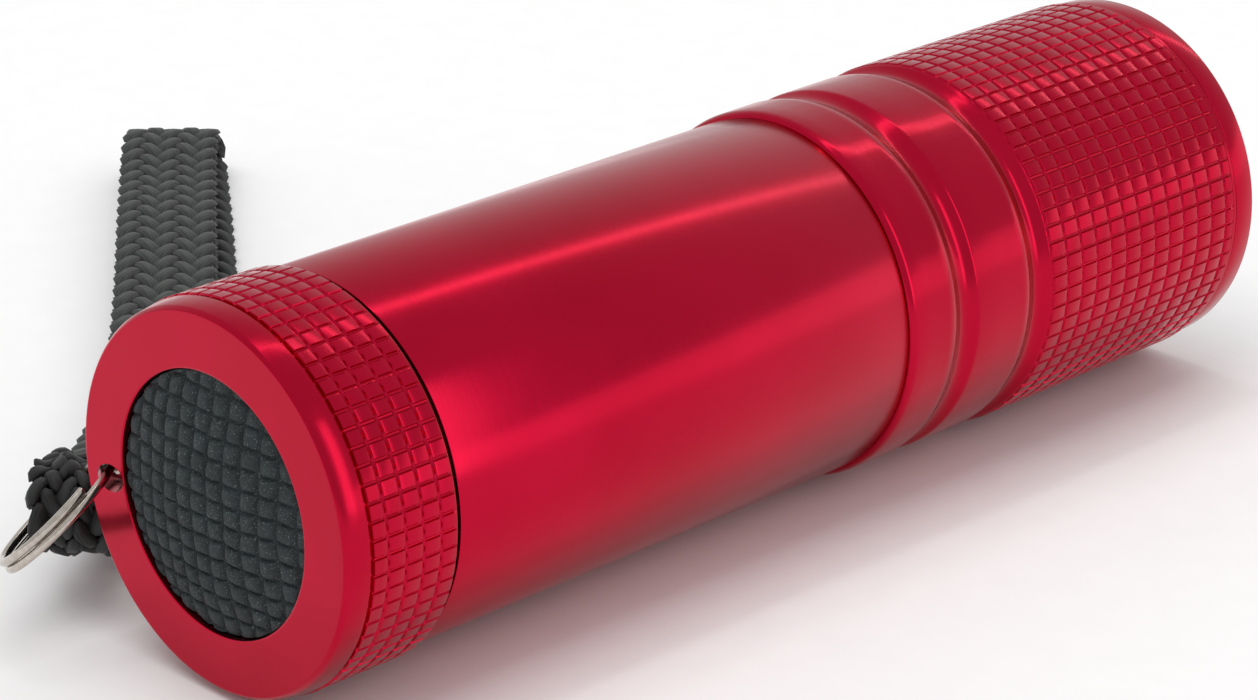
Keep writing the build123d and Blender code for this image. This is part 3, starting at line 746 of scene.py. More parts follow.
# --------------------------------------------------------------------------- casing
@dataclass
class TailCap:
    """Knurled tail cap with a plain conical band and a slanted lanyard hole."""

    length: float = 9.1
    band_end: float = 1.99      # where the plain band stops and the knurl starts
    row_start: float = 3.2
    row_pitch: float = 1.46
    rows: int = 4
    hole_radius: float = 0.95
    opening: float = 8.95
    bore: float = 12.55

    def shell(self, knurl: Knurl) -> Profile:
        """Outline from the knurl's front, through the inside, to the knurl's rear."""
        end = self.row_start + self.rows * self.row_pitch
        low, bore, opening = CAP_CREST - knurl.ring_depth, self.bore, self.opening
        inside = [
            (end, low), (self.length - 0.03, low - 0.01), (self.length, low - 0.05),
            (self.length, bore + 0.08), (self.length - 0.08, bore), (4.5, bore), (4.5, 10.1),
            (1.5, 10.1), (1.5, opening + 0.05), (1.45, opening), (0.14, opening),
        ]
        # points beside each edge keep the face flat right up to it
        face = [(0.04, 8.99), (0.0, 9.08), (0.0, 9.16), (0.0, 10.9), (0.0, 12.66),
                (0.0, 12.74), (0.03, 12.80)]
        band = [(0.25, 12.99), (0.33, 13.03), (1.0, 13.14), (1.68, 13.26), (1.74, 13.255),
                (1.80, 13.14), (1.84, 13.10), (self.band_end, 13.10)]
        return inside + face + band

    def drill(self) -> bpy.types.Mesh:
        """Cutter for the slanted hole, in torch millimetres."""
        cutter = Mould()
        cutter.lathe([(-4, 0), (-4, self.hole_radius), (10, self.hole_radius), (10, 0)],
                     even_angles(48), closed=False)
        mesh = cutter.mesh("drill")
        slope = Matrix.Rotation(HOLE_SLANT, 4, "Z")
        place = Matrix.Translation((0, HOLE_FACE_RADIUS, 0)) @ slope
        mesh.transform(Matrix.Rotation(HOLE_TURN, 4, "X") @ place)
        return mesh

    def build(self, bench: Bench) -> None:
        """Builds the cap and hangs it on its body."""
        knurl = Knurl(CAP_CREST)
        mould = Mould()
        first = [(self.band_end, 0.25), (2.04, 0.04), (2.10, 0.0), (2.55, 0.0)]
        first += [(self.row_start + x, d) for x, d in knurl.groove(-1)]
        knurl.rows(mould, first, 1, 1.0, RED_ANODISED)
        knurl.rows(mould, knurl.full_row(self.row_start, self.row_pitch), self.rows,
                   self.row_pitch, RED_ANODISED)
        mould.lathe(self.shell(knurl), knurl.angles(), closed=False)
        solid = link("cap blank", mould.mesh("cap blank"))
        drill = link("drill", self.drill())
        cut = solid.modifiers.new("lanyard hole", "BOOLEAN")
        cut.operation, cut.solver, cut.object = "DIFFERENCE", "EXACT", drill
        mesh = settled(solid)
        for item in (solid, drill):
            bpy.data.objects.remove(item)
        bench.hang(bench.finish(mesh, "knurled_tail_cap", RED_ANODISED), ["tail_cap"])


@dataclass
class HeadShell:
    """Head casing: two plain bands, two round valleys and a long knurled grip."""

    crest: float = 13.55
    band: float = 13.4
    rear: float = 51.2
    row_start: float = 65.87
    row_pitch: float = 1.64
    rows: int = 12
    last_row_end: float = 86.45
    valley_depth: float = 0.5

    def valley(self, start: float, end: float, front: float) -> Profile:
        """A soft shoulder, a low middle and a steeper rise to a crisp corner."""
        span = end - start
        shape = [(0.0, 0.0), (0.07, 0.025), (0.14, 0.09), (0.21, 0.2), (0.29, 0.38),
                 (0.37, 0.6), (0.45, 0.82), (0.52, 0.95), (0.59, 1.0), (0.66, 0.97),
                 (0.73, 0.88), (0.80, 0.72), (0.87, 0.49), (0.93, 0.25), (0.97, 0.08)]
        low = self.band - self.valley_depth
        points = []
        for share, depth in shape:
            top = self.band if share < 0.59 else front
            points.append((start + share * span, top - depth * (top - low)))
        return points

    def shell(self, knurl: Knurl) -> Profile:
        """Outline from the knurl's front, through the inside, to the knurl's rear."""
        low = self.crest - knurl.ring_depth
        rear, band = self.rear, self.band
        outline = [
            (self.last_row_end, low), (86.56, low), (86.62, 13.395), (86.88, 13.405),
            (86.95, 13.36), (86.95, 12.6), (86.9, 12.55), (83.35, 12.55), (83.35, 12.0),
            (73.6, 12.0), (73.6, 11.65), (54.95, 11.65), (54.95, 12.55), (rear, 12.55),
            (rear, band - 0.38), (rear + 0.05, band - 0.28), (rear + 0.16, band - 0.15),
            (rear + 0.34, band - 0.05), (rear + 0.6, band),
            (rear + 1.8, band), (rear + 3.6, band),
        ]
        outline += self.valley(rear + 3.8, rear + 6.85, band)
        outline += [(rear + 6.92, band - 0.01), (rear + 7.0, band), (rear + 9.3, band),
                    (rear + 11.5, band)]
        outline += self.valley(rear + 11.7, rear + 14.5, band + 0.1)
        outline += [(rear + 14.52, band + 0.09), (rear + 14.57, band + 0.03),
                    (rear + 14.61, low), (self.row_start, low)]
        return outline

    def build(self, bench: Bench) -> None:
        """Builds the head and hangs it on its body."""
        knurl = Knurl(self.crest)
        mould = Mould()
        knurl.rows(mould, knurl.full_row(self.row_start, self.row_pitch), self.rows,
                   self.row_pitch, RED_ANODISED)
        start = self.row_start + self.rows * self.row_pitch
        end = self.last_row_end
        last = [(start + x, d) for x, d in knurl.groove(1)]
        last += [(end - 0.25, 0.0), (end - 0.09, 0.0), (end - 0.03, 0.04),
                 (end, knurl.ring_depth)]
        knurl.rows(mould, last, 1, 1.0, RED_ANODISED)
        mould.lathe(self.shell(knurl), knurl.angles(), closed=False)
        bench.hang(bench.finish(mould.mesh("head"), "knurled_head", RED_ANODISED),
                   ["head_shell"])


@dataclass
class Casing:
    """The plain turned parts: battery tube and bezel ring."""

    tube_radius: float = 13.0
    bore: float = 11.5
    thread_radius: float = 12.5
    thread_pitch: float = 1.0
    thread_depth: float = 0.35
    seal_groove: float = 0.65      # its depth below the threads' crest
    segments: int = 288

    def thread(self, start: float, end: float) -> Profile:
        """Outline of the V grooves between two places, crest first."""
        points: List[Tuple[float, float]] = []
        for i in range(int((end - start) / self.thread_pitch)):
            middle = start + (i + 0.5) * self.thread_pitch
            half = 0.42 * self.thread_pitch
            points += [(middle - half, self.thread_radius),
                       (middle, self.thread_radius - self.thread_depth),
                       (middle + half, self.thread_radius)]
        return points

    def tube(self) -> Profile:
        """Battery tube's outline, rear neck first."""
        crest, outer, bore = self.thread_radius, self.tube_radius, self.bore
        groove = crest - self.seal_groove
        points = [(4.55, bore + 0.05), (4.6, crest - 0.05)] + list(self.thread(4.65, 7.8))
        points += [(7.8, crest), (7.8, groove), (8.6, groove), (8.6, crest), (9.45, crest),
                   (9.45, outer - 0.14), (9.49, outer - 0.04), (9.6, outer),
                   (30.0, outer), (51.1, outer), (51.13, outer - 0.01), (51.15, outer - 0.04),
                   (51.15, crest), (51.6, crest), (51.6, groove), (52.4, groove),
                   (52.4, crest)]
        points += list(self.thread(52.4, 54.9)) + [(54.85, crest - 0.05), (54.9, crest - 0.1)]
        return points + [(54.9, bore), (30.0, bore), (4.6, bore)]

    def bezel(self) -> Profile:
        """Bezel ring's outline, skirt first."""
        crest = self.thread_radius
        return [(83.4, 11.95), (83.4, crest - 0.05)] + list(self.thread(83.4, 87.0)) + [
            (87.0, crest), (87.0, 13.27), (87.03, 13.33), (87.1, 13.355), (88.0, 13.34),
            (88.86, 13.31), (88.95, 13.28), (89.13, 13.12), (89.2, 13.02), (89.2, 11.5),
            (89.16, 11.4), (88.26, 11.03), (88.2, 10.98), (88.2, 11.95),
        ]

    def build(self, bench: Bench) -> None:
        """Builds both parts and hangs them on their body."""
        for name, node, outline in (("battery_barrel", "battery_tube", self.tube()),
                                    ("front_bezel", "bezel_ring", self.bezel())):
            mould = Mould()
            mould.lathe(outline, even_angles(self.segments))
            bench.hang(bench.finish(mould.mesh(name), name, RED_ANODISED), [node])


# --------------------------------------------------------------------------- rubber button
@dataclass
class RubberButton:
    """Domed rubber button with a moulded grid of square pads."""

    radius: float = 8.85
    rise: float = 1.35
    sunk: float = 0.22
    pitch_y: float = 1.5
    pitch_z: float = 1.38
    offset_y: float = -0.52
    offset_z: float = -0.39
    depth: float = 0.3
    slope_y: float = 0.3         # width of the grooves' sides
    slope_z: float = 0.18
    groove_floor: float = 0.04   # half width of their flat floor
    crown: float = 0.12          # how far a pad's edges fall from its middle
    edge_fade: float = 0.35      # the grooves get shallow this near the dome's edge
    lip: float = 0.5             # wall behind the dome's edge
    flange_rear: float = 1.55
    flange_front: float = 2.25
    flange: float = 1.1          # how far the flange stands out from the wall

    def lines(self, pitch: float, offset: float) -> Array:
        """Grid lines close together in each groove and wide apart on each pad."""
        shape = [0.0, 0.03, 0.075, 0.125, 0.18, 0.3, 0.5, 0.7, 0.82, 0.875, 0.925, 0.97]
        count = int(self.radius / pitch) + 2
        places = [offset + (k + s) * pitch for k in range(-count, count) for s in shape]
        return np.array([p for p in places if abs(p) < self.radius + 0.35 * pitch])

    def height(self, y: Array, z: Array) -> Array:
        """Distance of the surface behind the tail face, at each place."""
        ball = (self.radius ** 2 + self.rise ** 2) / (2 * self.rise)
        reach = np.minimum(np.hypot(y, z), self.radius)
        dome = np.sqrt(ball ** 2 - reach ** 2) - (ball - self.rise) - self.sunk
        return -dome

    def relief(self, y: Array, z: Array) -> Array:
        """How deep the grooves and the pads' fall are, at each place."""
        worst = np.zeros_like(y)
        pillow = np.zeros_like(y)
        for place, pitch, offset, depth, slope in (
                (y, self.pitch_y, self.offset_y, self.depth, self.slope_y),
                (z, self.pitch_z, self.offset_z, 0.8 * self.depth, self.slope_z)):
            share = (place - offset) / pitch
            near = np.abs(share - np.round(share)) * pitch
            cut = np.clip(1 - (near - self.groove_floor) / slope, 0, 1)
            worst = np.maximum(worst, depth * cut ** 1.2)
            pillow += self.crown * (1 - near / (pitch / 2)) ** 2
        edge = np.clip((self.radius - np.hypot(y, z)) / self.edge_fade, 0, 1)
        return worst * (0.35 + 0.65 * edge) + pillow

    def wobble(self, y: Array, z: Array) -> Tuple[Array, Array]:
        """Shifts the grid a little, as a soft moulding is never dead straight."""
        shift_y = 0.06 * np.sin(0.9 * z + 0.7 * y) + 0.04 * np.sin(2.3 * z - 1.1 * y + 1.3)
        shift_z = 0.06 * np.sin(1.1 * y - 0.5 * z + 2.0) + 0.04 * np.sin(2.7 * y + 0.8)
        return y + shift_y, z + shift_z

    def build(self, bench: Bench) -> None:
        """Builds the button and lets its dome bend between the cap and the plunger."""
        ys = self.lines(self.pitch_y, self.offset_y)
        zs = self.lines(self.pitch_z, self.offset_z)
        yy, zz = (g.ravel() for g in np.meshgrid(ys, zs, indexing="ij"))
        relief = self.relief(yy, zz)
        y, z = self.wobble(yy, zz)
        reach = np.hypot(y, z)
        outside = reach > self.radius
        shrink = np.where(outside, self.radius / reach, 1.0)
        y, z = y * shrink, z * shrink
        x = self.height(y, z) + relief
        shape = bmesh.new()
        keep = [shape.verts.new(p) for p in zip(x, y, z)]
        size = len(zs)
        for i in range(len(ys) - 1):
            for j in range(size - 1):
                quad = [i * size + j, (i + 1) * size + j, (i + 1) * size + j + 1,
                        i * size + j + 1]
                if not all(outside[q] for q in quad):
                    shape.faces.new([keep[q] for q in quad])
        loose = [v for v in shape.verts if not v.link_faces]
        bmesh.ops.delete(shape, geom=loose, context="VERTS")
        bmesh.ops.remove_doubles(shape, verts=shape.verts, dist=0.004)
        bmesh.ops.dissolve_degenerate(shape, edges=shape.edges, dist=1e-4)
        rim = [e for e in shape.edges if e.is_boundary]
        for level, flare in ((None, 0.0), (self.flange_rear, 0.0),
                             (self.flange_rear, self.flange), (self.flange_front, 0.0)):
            pulled = bmesh.ops.extrude_edge_only(shape, edges=rim)["geom"]
            ring = [v for v in pulled if isinstance(v, bmesh.types.BMVert)]
            rim = [e for e in pulled if isinstance(e, bmesh.types.BMEdge)
                   and e.verts[0] in ring and e.verts[1] in ring and e.is_boundary]
            for v in ring:
                reach_now = math.hypot(v.co.y, v.co.z)
                grown = (reach_now + flare) / reach_now
                v.co.y, v.co.z = v.co.y * grown, v.co.z * grown
                v.co.x = v.co.x + self.lip if level is None else level
        bmesh.ops.contextual_create(shape, geom=rim)
        bmesh.ops.recalc_face_normals(shape, faces=shape.faces)
        piece = bench.finish(poured(shape, "button"), "padded_rubber_button", BUTTON_RUBBER,
                             40.0)
        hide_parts("button_boot")
        axis = bench.axis
        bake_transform(piece, "tail_cap", "button", start=axis.row(1.5, 0, 0),
                 end=axis.row(-0.6, 0, 0))
        LOG.info("%s: %d faces", piece.name, len(piece.data.polygons))


# --------------------------------------------------------------------------- split ring
@dataclass
class SplitRing:
    """Two close turns of hard nickel plated wire through the slanted hole."""

    wire: float = 0.3
    mean: float = 4.95
    turn_pitch: float = 0.63
    turns: float = 1.89
    end_angle: float = 132.0
    drop: float = math.radians(38)
    hole_run: float = (CAP_CREST - HOLE_FACE_RADIUS) / math.sin(HOLE_SLANT)

    def frame(self) -> Tuple[Vector, Vector, Vector, Vector]:
        """Centre, in-plane directions and normal, in torch millimetres."""
        along = Vector((math.cos(HOLE_SLANT), math.sin(HOLE_SLANT), 0))
        outward = Vector((-along.y, along.x, 0))
        hole = Vector((0, HOLE_FACE_RADIUS, 0)) + along * (self.hole_run / 2)
        aim = outward * math.cos(self.drop) + Vector((0, 0, -1)) * math.sin(self.drop)
        sag = self.mean - math.sqrt(self.mean ** 2 - (self.hole_run / 2) ** 2)
        centre = hole + aim * (self.mean - sag / 2)
        normal = along.cross(aim)
        spin = Matrix.Rotation(HOLE_TURN, 3, "X")
        return spin @ centre, spin @ aim, spin @ normal.cross(aim), spin @ normal

    def build(self, bench: Bench) -> None:
        """Builds the ring and hangs it on its body."""
        centre, one, two, normal = (np.array(v) for v in self.frame())
        first = self.end_angle + 360 * (2 - self.turns)
        middle = self.turn_pitch * ((180 - first) / 360 + 0.5)
        steps = int(150 * self.turns)
        rings = []
        around = even_angles(20)
        # two smaller rings past each end round off the cut wire
        for k in range(-2, steps + 3):
            share = min(max(k, 0), steps) / steps
            inset = {-2: 0.55, -1: 0.88, steps + 1: 0.88, steps + 2: 0.55}.get(k, 1.0)
            past = {-2: -0.05, -1: -0.03, steps + 1: 0.03, steps + 2: 0.05}.get(k, 0.0)
            angle = math.radians(first + 360 * self.turns * share) + past / self.mean
            lift = self.turn_pitch * self.turns * share - middle
            out = one * math.cos(angle) + two * math.sin(angle)
            point = centre + out * self.mean + normal * lift
            rings.append(np.array([
                point + self.wire * inset * (out * math.cos(a) + normal * math.sin(a))
                for a in around
            ]))
        mould = Mould()
        mould.sweep(rings)
        bench.hang(bench.finish(mould.mesh("ring", 0.0005), "nickel_split_ring",
                                NICKEL_WIRE, 50.0), ["split_ring"])


# --------------------------------------------------------------------------- braided strap
class Side(Enum):
    """Faces of the flat braid."""

    UPPER = 1
    LOWER = -1


@dataclass
class Braid:
    """Flat herringbone braid: slanting yarn floats on both faces of a thin core."""

    width: float = 7.5
    thickness: float = 1.2
    columns: int = 5
    row_pitch: float = 2.5
    edge_inset: float = 0.42     # middle of the edge floats, in from the braid's side
    face_inset: float = 0.34     # middle of the face floats, in from the braid's face
    face_reach: float = 1.22     # length of a face float, in steps from one to the next
    face_width: float = 1.02     # its width, in columns
    face_height: float = 0.8
    edge_reach: float = 1.1      # length of an edge float, in rows
    edge_width: float = 0.8
    edge_height: float = 0.7
    core_half: float = 0.3       # half the thickness of the core
    core_inset: float = 0.2      # its ends, in from the braid's
    tree: Optional[GeometryTree] = None
    float_object: Optional[bpy.types.Object] = None

    def yarn_float(self) -> bpy.types.Object:
        """One leaf-shaped float, 1 mm long and wide, with its own yarn map."""
        long_steps, around = 6, 6
        shape = bmesh.new()
        yarn = shape.loops.layers.uv.new("yarn")
        rows = []
        for i in range(1, long_steps):
            x = -0.5 + i / long_steps
            girth = 0.5 * (1 - abs(2 * x) ** 2.6) ** 0.6
            bow = 0.16 * (1 - (2 * x) ** 2)
            rows.append([shape.verts.new((x, girth * math.cos(a),
                                          girth * 0.9 * math.sin(a) + bow))
                         for a in even_angles(around)])
        tips = [shape.verts.new((-0.5, 0, -0.1)), shape.verts.new((0.5, 0, -0.1))]
        for one, two in zip(rows, rows[1:]):
            for k in range(around):
                shape.faces.new((one[k], two[k], two[k - 1], one[k - 1]))
        for k in range(around):
            shape.faces.new((tips[0], rows[0][k], rows[0][k - 1]))
            shape.faces.new((tips[1], rows[-1][k - 1], rows[-1][k]))
        bmesh.ops.recalc_face_normals(shape, faces=shape.faces)
        for face in shape.faces:
            for loop in face.loops:
                loop[yarn].uv = (loop.vert.co.x * 2.5, loop.vert.co.y * 0.9)
        mesh = poured(shape, "yarn float")
        mesh.shade_smooth()
        return link("yarn float", mesh)

    def pattern(self) -> GeometryTree:
        """The tree that lays one float on each point, turned and sized by attributes."""
        made = GeometryTree("braid floats", [
            ("Float", "NodeSocketObject"), ("Finish", "NodeSocketMaterial"),
        ])
        tree, start = made.tree, made.start.outputs
        leaf = add(tree, "GeometryNodeObjectInfo", {"As Instance": False},
                   {"Object": start["Float"]})
        turn = add(tree, "GeometryNodeInputNamedAttribute",
                   {"data_type": "FLOAT_VECTOR", "Name": "turn"})
        size = add(tree, "GeometryNodeInputNamedAttribute",
                   {"data_type": "FLOAT_VECTOR", "Name": "size"})
        turned = add(tree, "FunctionNodeEulerToRotation", links={0: turn.outputs[0]})
        laid = add(tree, "GeometryNodeInstanceOnPoints", links={
            "Points": start["Geometry"], "Instance": leaf.outputs["Geometry"],
            "Rotation": turned.outputs[0], "Scale": size.outputs[0],
        })
        made.close(laid.outputs[0])
        return made

    def spots(self, length: float) -> Tuple[List, List, List]:
        """Place, turn and size of every float on a flat strip of this length."""
        column = self.width / self.columns
        rows = round(length / self.row_pitch)
        pitch = length / rows
        slant = math.atan2(column, pitch)
        reach = self.face_reach * math.hypot(column, pitch)
        places, turns, sizes = [], [], []
        for side in Side:
            for j in range(self.columns):
                across = (j + 0.5 - self.columns / 2) * column
                over = 0.0 if side is Side.UPPER else math.pi
                for k in range(rows):
                    places.append(((k + 0.25 + 0.5 * (j % 2)) * pitch, across,
                                   side.value * (self.thickness * 0.5 - self.face_inset)))
                    turns.append((over, 0.0, slant if j % 2 else -slant))
                    sizes.append((reach, self.face_width * column, self.face_height))
        for edge in (-1, 1):
            for k in range(rows):
                places.append(((k + 0.5) * pitch, edge * (self.width / 2 - self.edge_inset), 0.0))
                turns.append((-edge * math.pi / 2, 0.0, 0.0))
                sizes.append((pitch * self.edge_reach, self.edge_width, self.edge_height))
        return places, turns, sizes

    def core(self, length: float) -> bpy.types.Mesh:
        """Thin flat filling between the two faces, painted in full shade."""
        half = self.width / 2 - self.edge_inset
        edges = (-1, -0.5, 0, 0.5, 1)
        loop = [(v, self.core_half) for v in edges] + [(v, -self.core_half) for v in edges[::-1]]
        steps = np.linspace(self.core_inset, length - self.core_inset,
                            max(8, int(length / 0.8)))
        mould = Mould()
        mould.sweep([np.array([(u, v * half, w) for v, w in loop]) for u in steps])
        mesh = mould.mesh("core")
        # the yarn map's fixed middle value puts the core at the dark end of the float-side ramp: painted
        # shade where it shows between floats
        shade = mesh.uv_layers.new(name="yarn")
        shade.data.foreach_set("uv", [0.0, 0.5] * len(mesh.loops))
        return mesh

    def lay(self, line: Array, lateral: Array, widths: Array, name: str, finish: Finish,
            pucker: float = 0.0) -> bpy.types.Mesh:
        """Braids a flat strip and bends it along a route.

        Args:
            line: Points in torch millimetres, close together.
            lateral: Unit vector across the braid.
            widths: Width of the braid at each point.
            name: Mesh's name.
            finish: Its finish.
            pucker: Height of gathers across the width.

        Returns:
            The braid as a mesh in torch millimetres, with the core in it.
        """
        run = distances(line)
        tangent = np.gradient(line, run, axis=0)
        up = np.cross(tangent, lateral)
        up /= np.linalg.norm(up, axis=1)[:, None]
        places, turns, sizes = self.spots(float(run[-1]))
        points = bpy.data.meshes.new(name)
        points.from_pydata(places, [], [])
        for label, values in (("turn", turns), ("size", sizes)):
            layer = points.attributes.new(label, "FLOAT_VECTOR", "POINT")
            layer.data.foreach_set("vector", np.array(values, np.float32).ravel())
        if self.tree is None:
            self.tree = self.pattern()
            self.float_object = self.yarn_float()
        floats = self.tree.run(points, {"Float": self.float_object,
                                        "Finish": finish.material()})
        shape = bmesh.new()
        shape.from_mesh(floats)
        shape.from_mesh(self.core(float(run[-1])))
        mesh = poured(shape, name)
        flat = np.empty(len(mesh.vertices) * 3)
        mesh.vertices.foreach_get("co", flat)
        u, v, w = flat.reshape(-1, 3).T

        def at(values: Array) -> Array:
            """Interpolates along the route."""
            return np.stack([np.interp(u, run, values[:, k]) for k in range(3)], 1)

        w = w + pucker * np.sin(2.4 * v + 0.9 * np.sin(0.8 * u)) * np.cos(0.7 * u)
        v = v * np.interp(u, run, widths) / self.width
        bent = at(line) + lateral * v[:, None] + at(up) * w[:, None]
        mesh.vertices.foreach_set("co", bent.ravel())
        mesh.update()
        for attribute in ("turn", "size"):
            if mesh.attributes.get(attribute):
                mesh.attributes.remove(mesh.attributes[attribute])
        return mesh

    def clear(self) -> None:
        """Removes the single float once every braid is laid."""
        if self.float_object is not None:
            bpy.data.objects.remove(self.float_object)


@dataclass
class Lanyard:
    """Flat wrist strap that lies on the table, and its bunched end on the ring."""

    heading: float = math.radians(46.0)
    start_x: float = 2.272         # knot's middle along the torch
    start_y: float = 19.230        # knot's middle beside the torch
    table: float = 13.55           # table below the torch's axis
    # distance along the heading, height above the table, and sideways, in millimetres
    route: Sequence[Tuple[float, float, float]] = (
        (3.4, 4.4, 2.6), (13.0, 1.5, 4.6), (30.0, 0.75, 5.4), (46.0, 0.7, 4.4),
        (62.0, 0.8, 2.8), (73.0, 0.65, 1.6), (79.5, 0.85, 0.8), (83.6, 0.8, 0.4),
        (84.0, 3.75, 0.0), (79.7, 3.9, 0.0), (73.0, 3.5, 0.5), (62.0, 3.8, 1.4),
        (46.0, 3.45, 2.8), (30.0, 3.6, 3.9), (13.0, 4.7, 3.9), (3.4, 6.9, 2.0),
    )
    knot_route: Sequence[Tuple[float, float, float]] = (
        (4.2, 7.6, 2.0), (2.0, 8.6, 1.5), (-0.8, 9.3, 1.1), (-3.2, 8.7, 1.0),
        (-4.1, 7.0, 1.2), (-3.2, 5.4, 1.4), (-0.6, 4.7, 1.4), (1.8, 5.2, 1.2),
        (2.6, 6.8, 1.1), (1.0, 7.8, 1.2), (-1.4, 7.4, 1.2), (-1.6, 6.2, 1.2),
    )
    braid: Braid = field(default_factory=Braid)
    bunch: Braid = field(default_factory=lambda: Braid(5.0, 1.7, 5, 1.7))
    pucker: float = 0.4
    gathered_share: float = 0.78   # the strap's width at its ends, of its full width
    gathered_run: float = 12.0     # and how far in it is full

    def torch_points(self, route: Sequence[Tuple[float, float, float]]) -> List[Tuple]:
        """Route points in torch millimetres."""
        c, s = math.cos(self.heading), math.sin(self.heading)
        return [(self.start_x + d * c + side * s, self.start_y + d * s - side * c,
                 h - self.table) for d, h, side in route]

    def spline(self, points: Sequence[Tuple], name: str) -> Array:
        """Points along a NURBS spline that has the given control points."""
        curve = bpy.data.curves.new(name, "CURVE")
        curve.dimensions = "3D"
        line = curve.splines.new("NURBS")
        line.points.add(len(points) - 1)
        for point, place in zip(line.points, points):
            point.co = (*place, 1.0)
        line.order_u = 3
        line.use_endpoint_u = True
        line.resolution_u = 12
        holder = link(name, curve)
        mesh = settled(holder)
        result = np.array([v.co for v in mesh.vertices], float)
        bpy.data.objects.remove(holder)
        bpy.data.meshes.remove(mesh)
        return result

    def build(self, bench: Bench) -> None:
        """Builds the strap and its bunched end and hangs them on the torch."""
        across = np.array([math.sin(self.heading), -math.cos(self.heading), 0.0])
        line = self.spline(self.torch_points(self.route), "strap route")
        run = distances(line)
        near = np.minimum(run, run[-1] - run)
        widths = self.braid.width * np.interp(near, (0, self.gathered_run),
                                              (self.gathered_share, 1))
        flat = self.braid.lay(line, across, widths, "strap", WEBBING)
        strap = bench.finish(flat, "braided_strap", WEBBING, 80.0)
        tight = self.spline(self.torch_points(self.knot_route), "knot route")
        # the bunched end takes the darker yarn, painted shade for its folds
        gathered = self.bunch.lay(tight, across, np.full(len(tight), self.bunch.width), "knot",
                                  SHADED_WEBBING, self.pucker)
        knot = bench.finish(gathered, "bunched_strap_end", SHADED_WEBBING, 80.0)
        self.braid.clear()
        self.bunch.clear()
        axis = bench.axis
        first = axis.row(*line[0])
        for piece, node in ((strap, "lanyard_strap"), (knot, "lanyard_knot")):
            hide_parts(node)
        far = self.torch_points([(34.0, 1.0, 0.0)])[0]
        begin = self.torch_points([(2.0, 6.0, 0.0)])[0]
        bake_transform(strap, "split_ring", "tail_cap", start=axis.row(*begin), end=axis.row(*far))
        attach(knot, "split_ring")
        [axis.row(*p) for p in line]


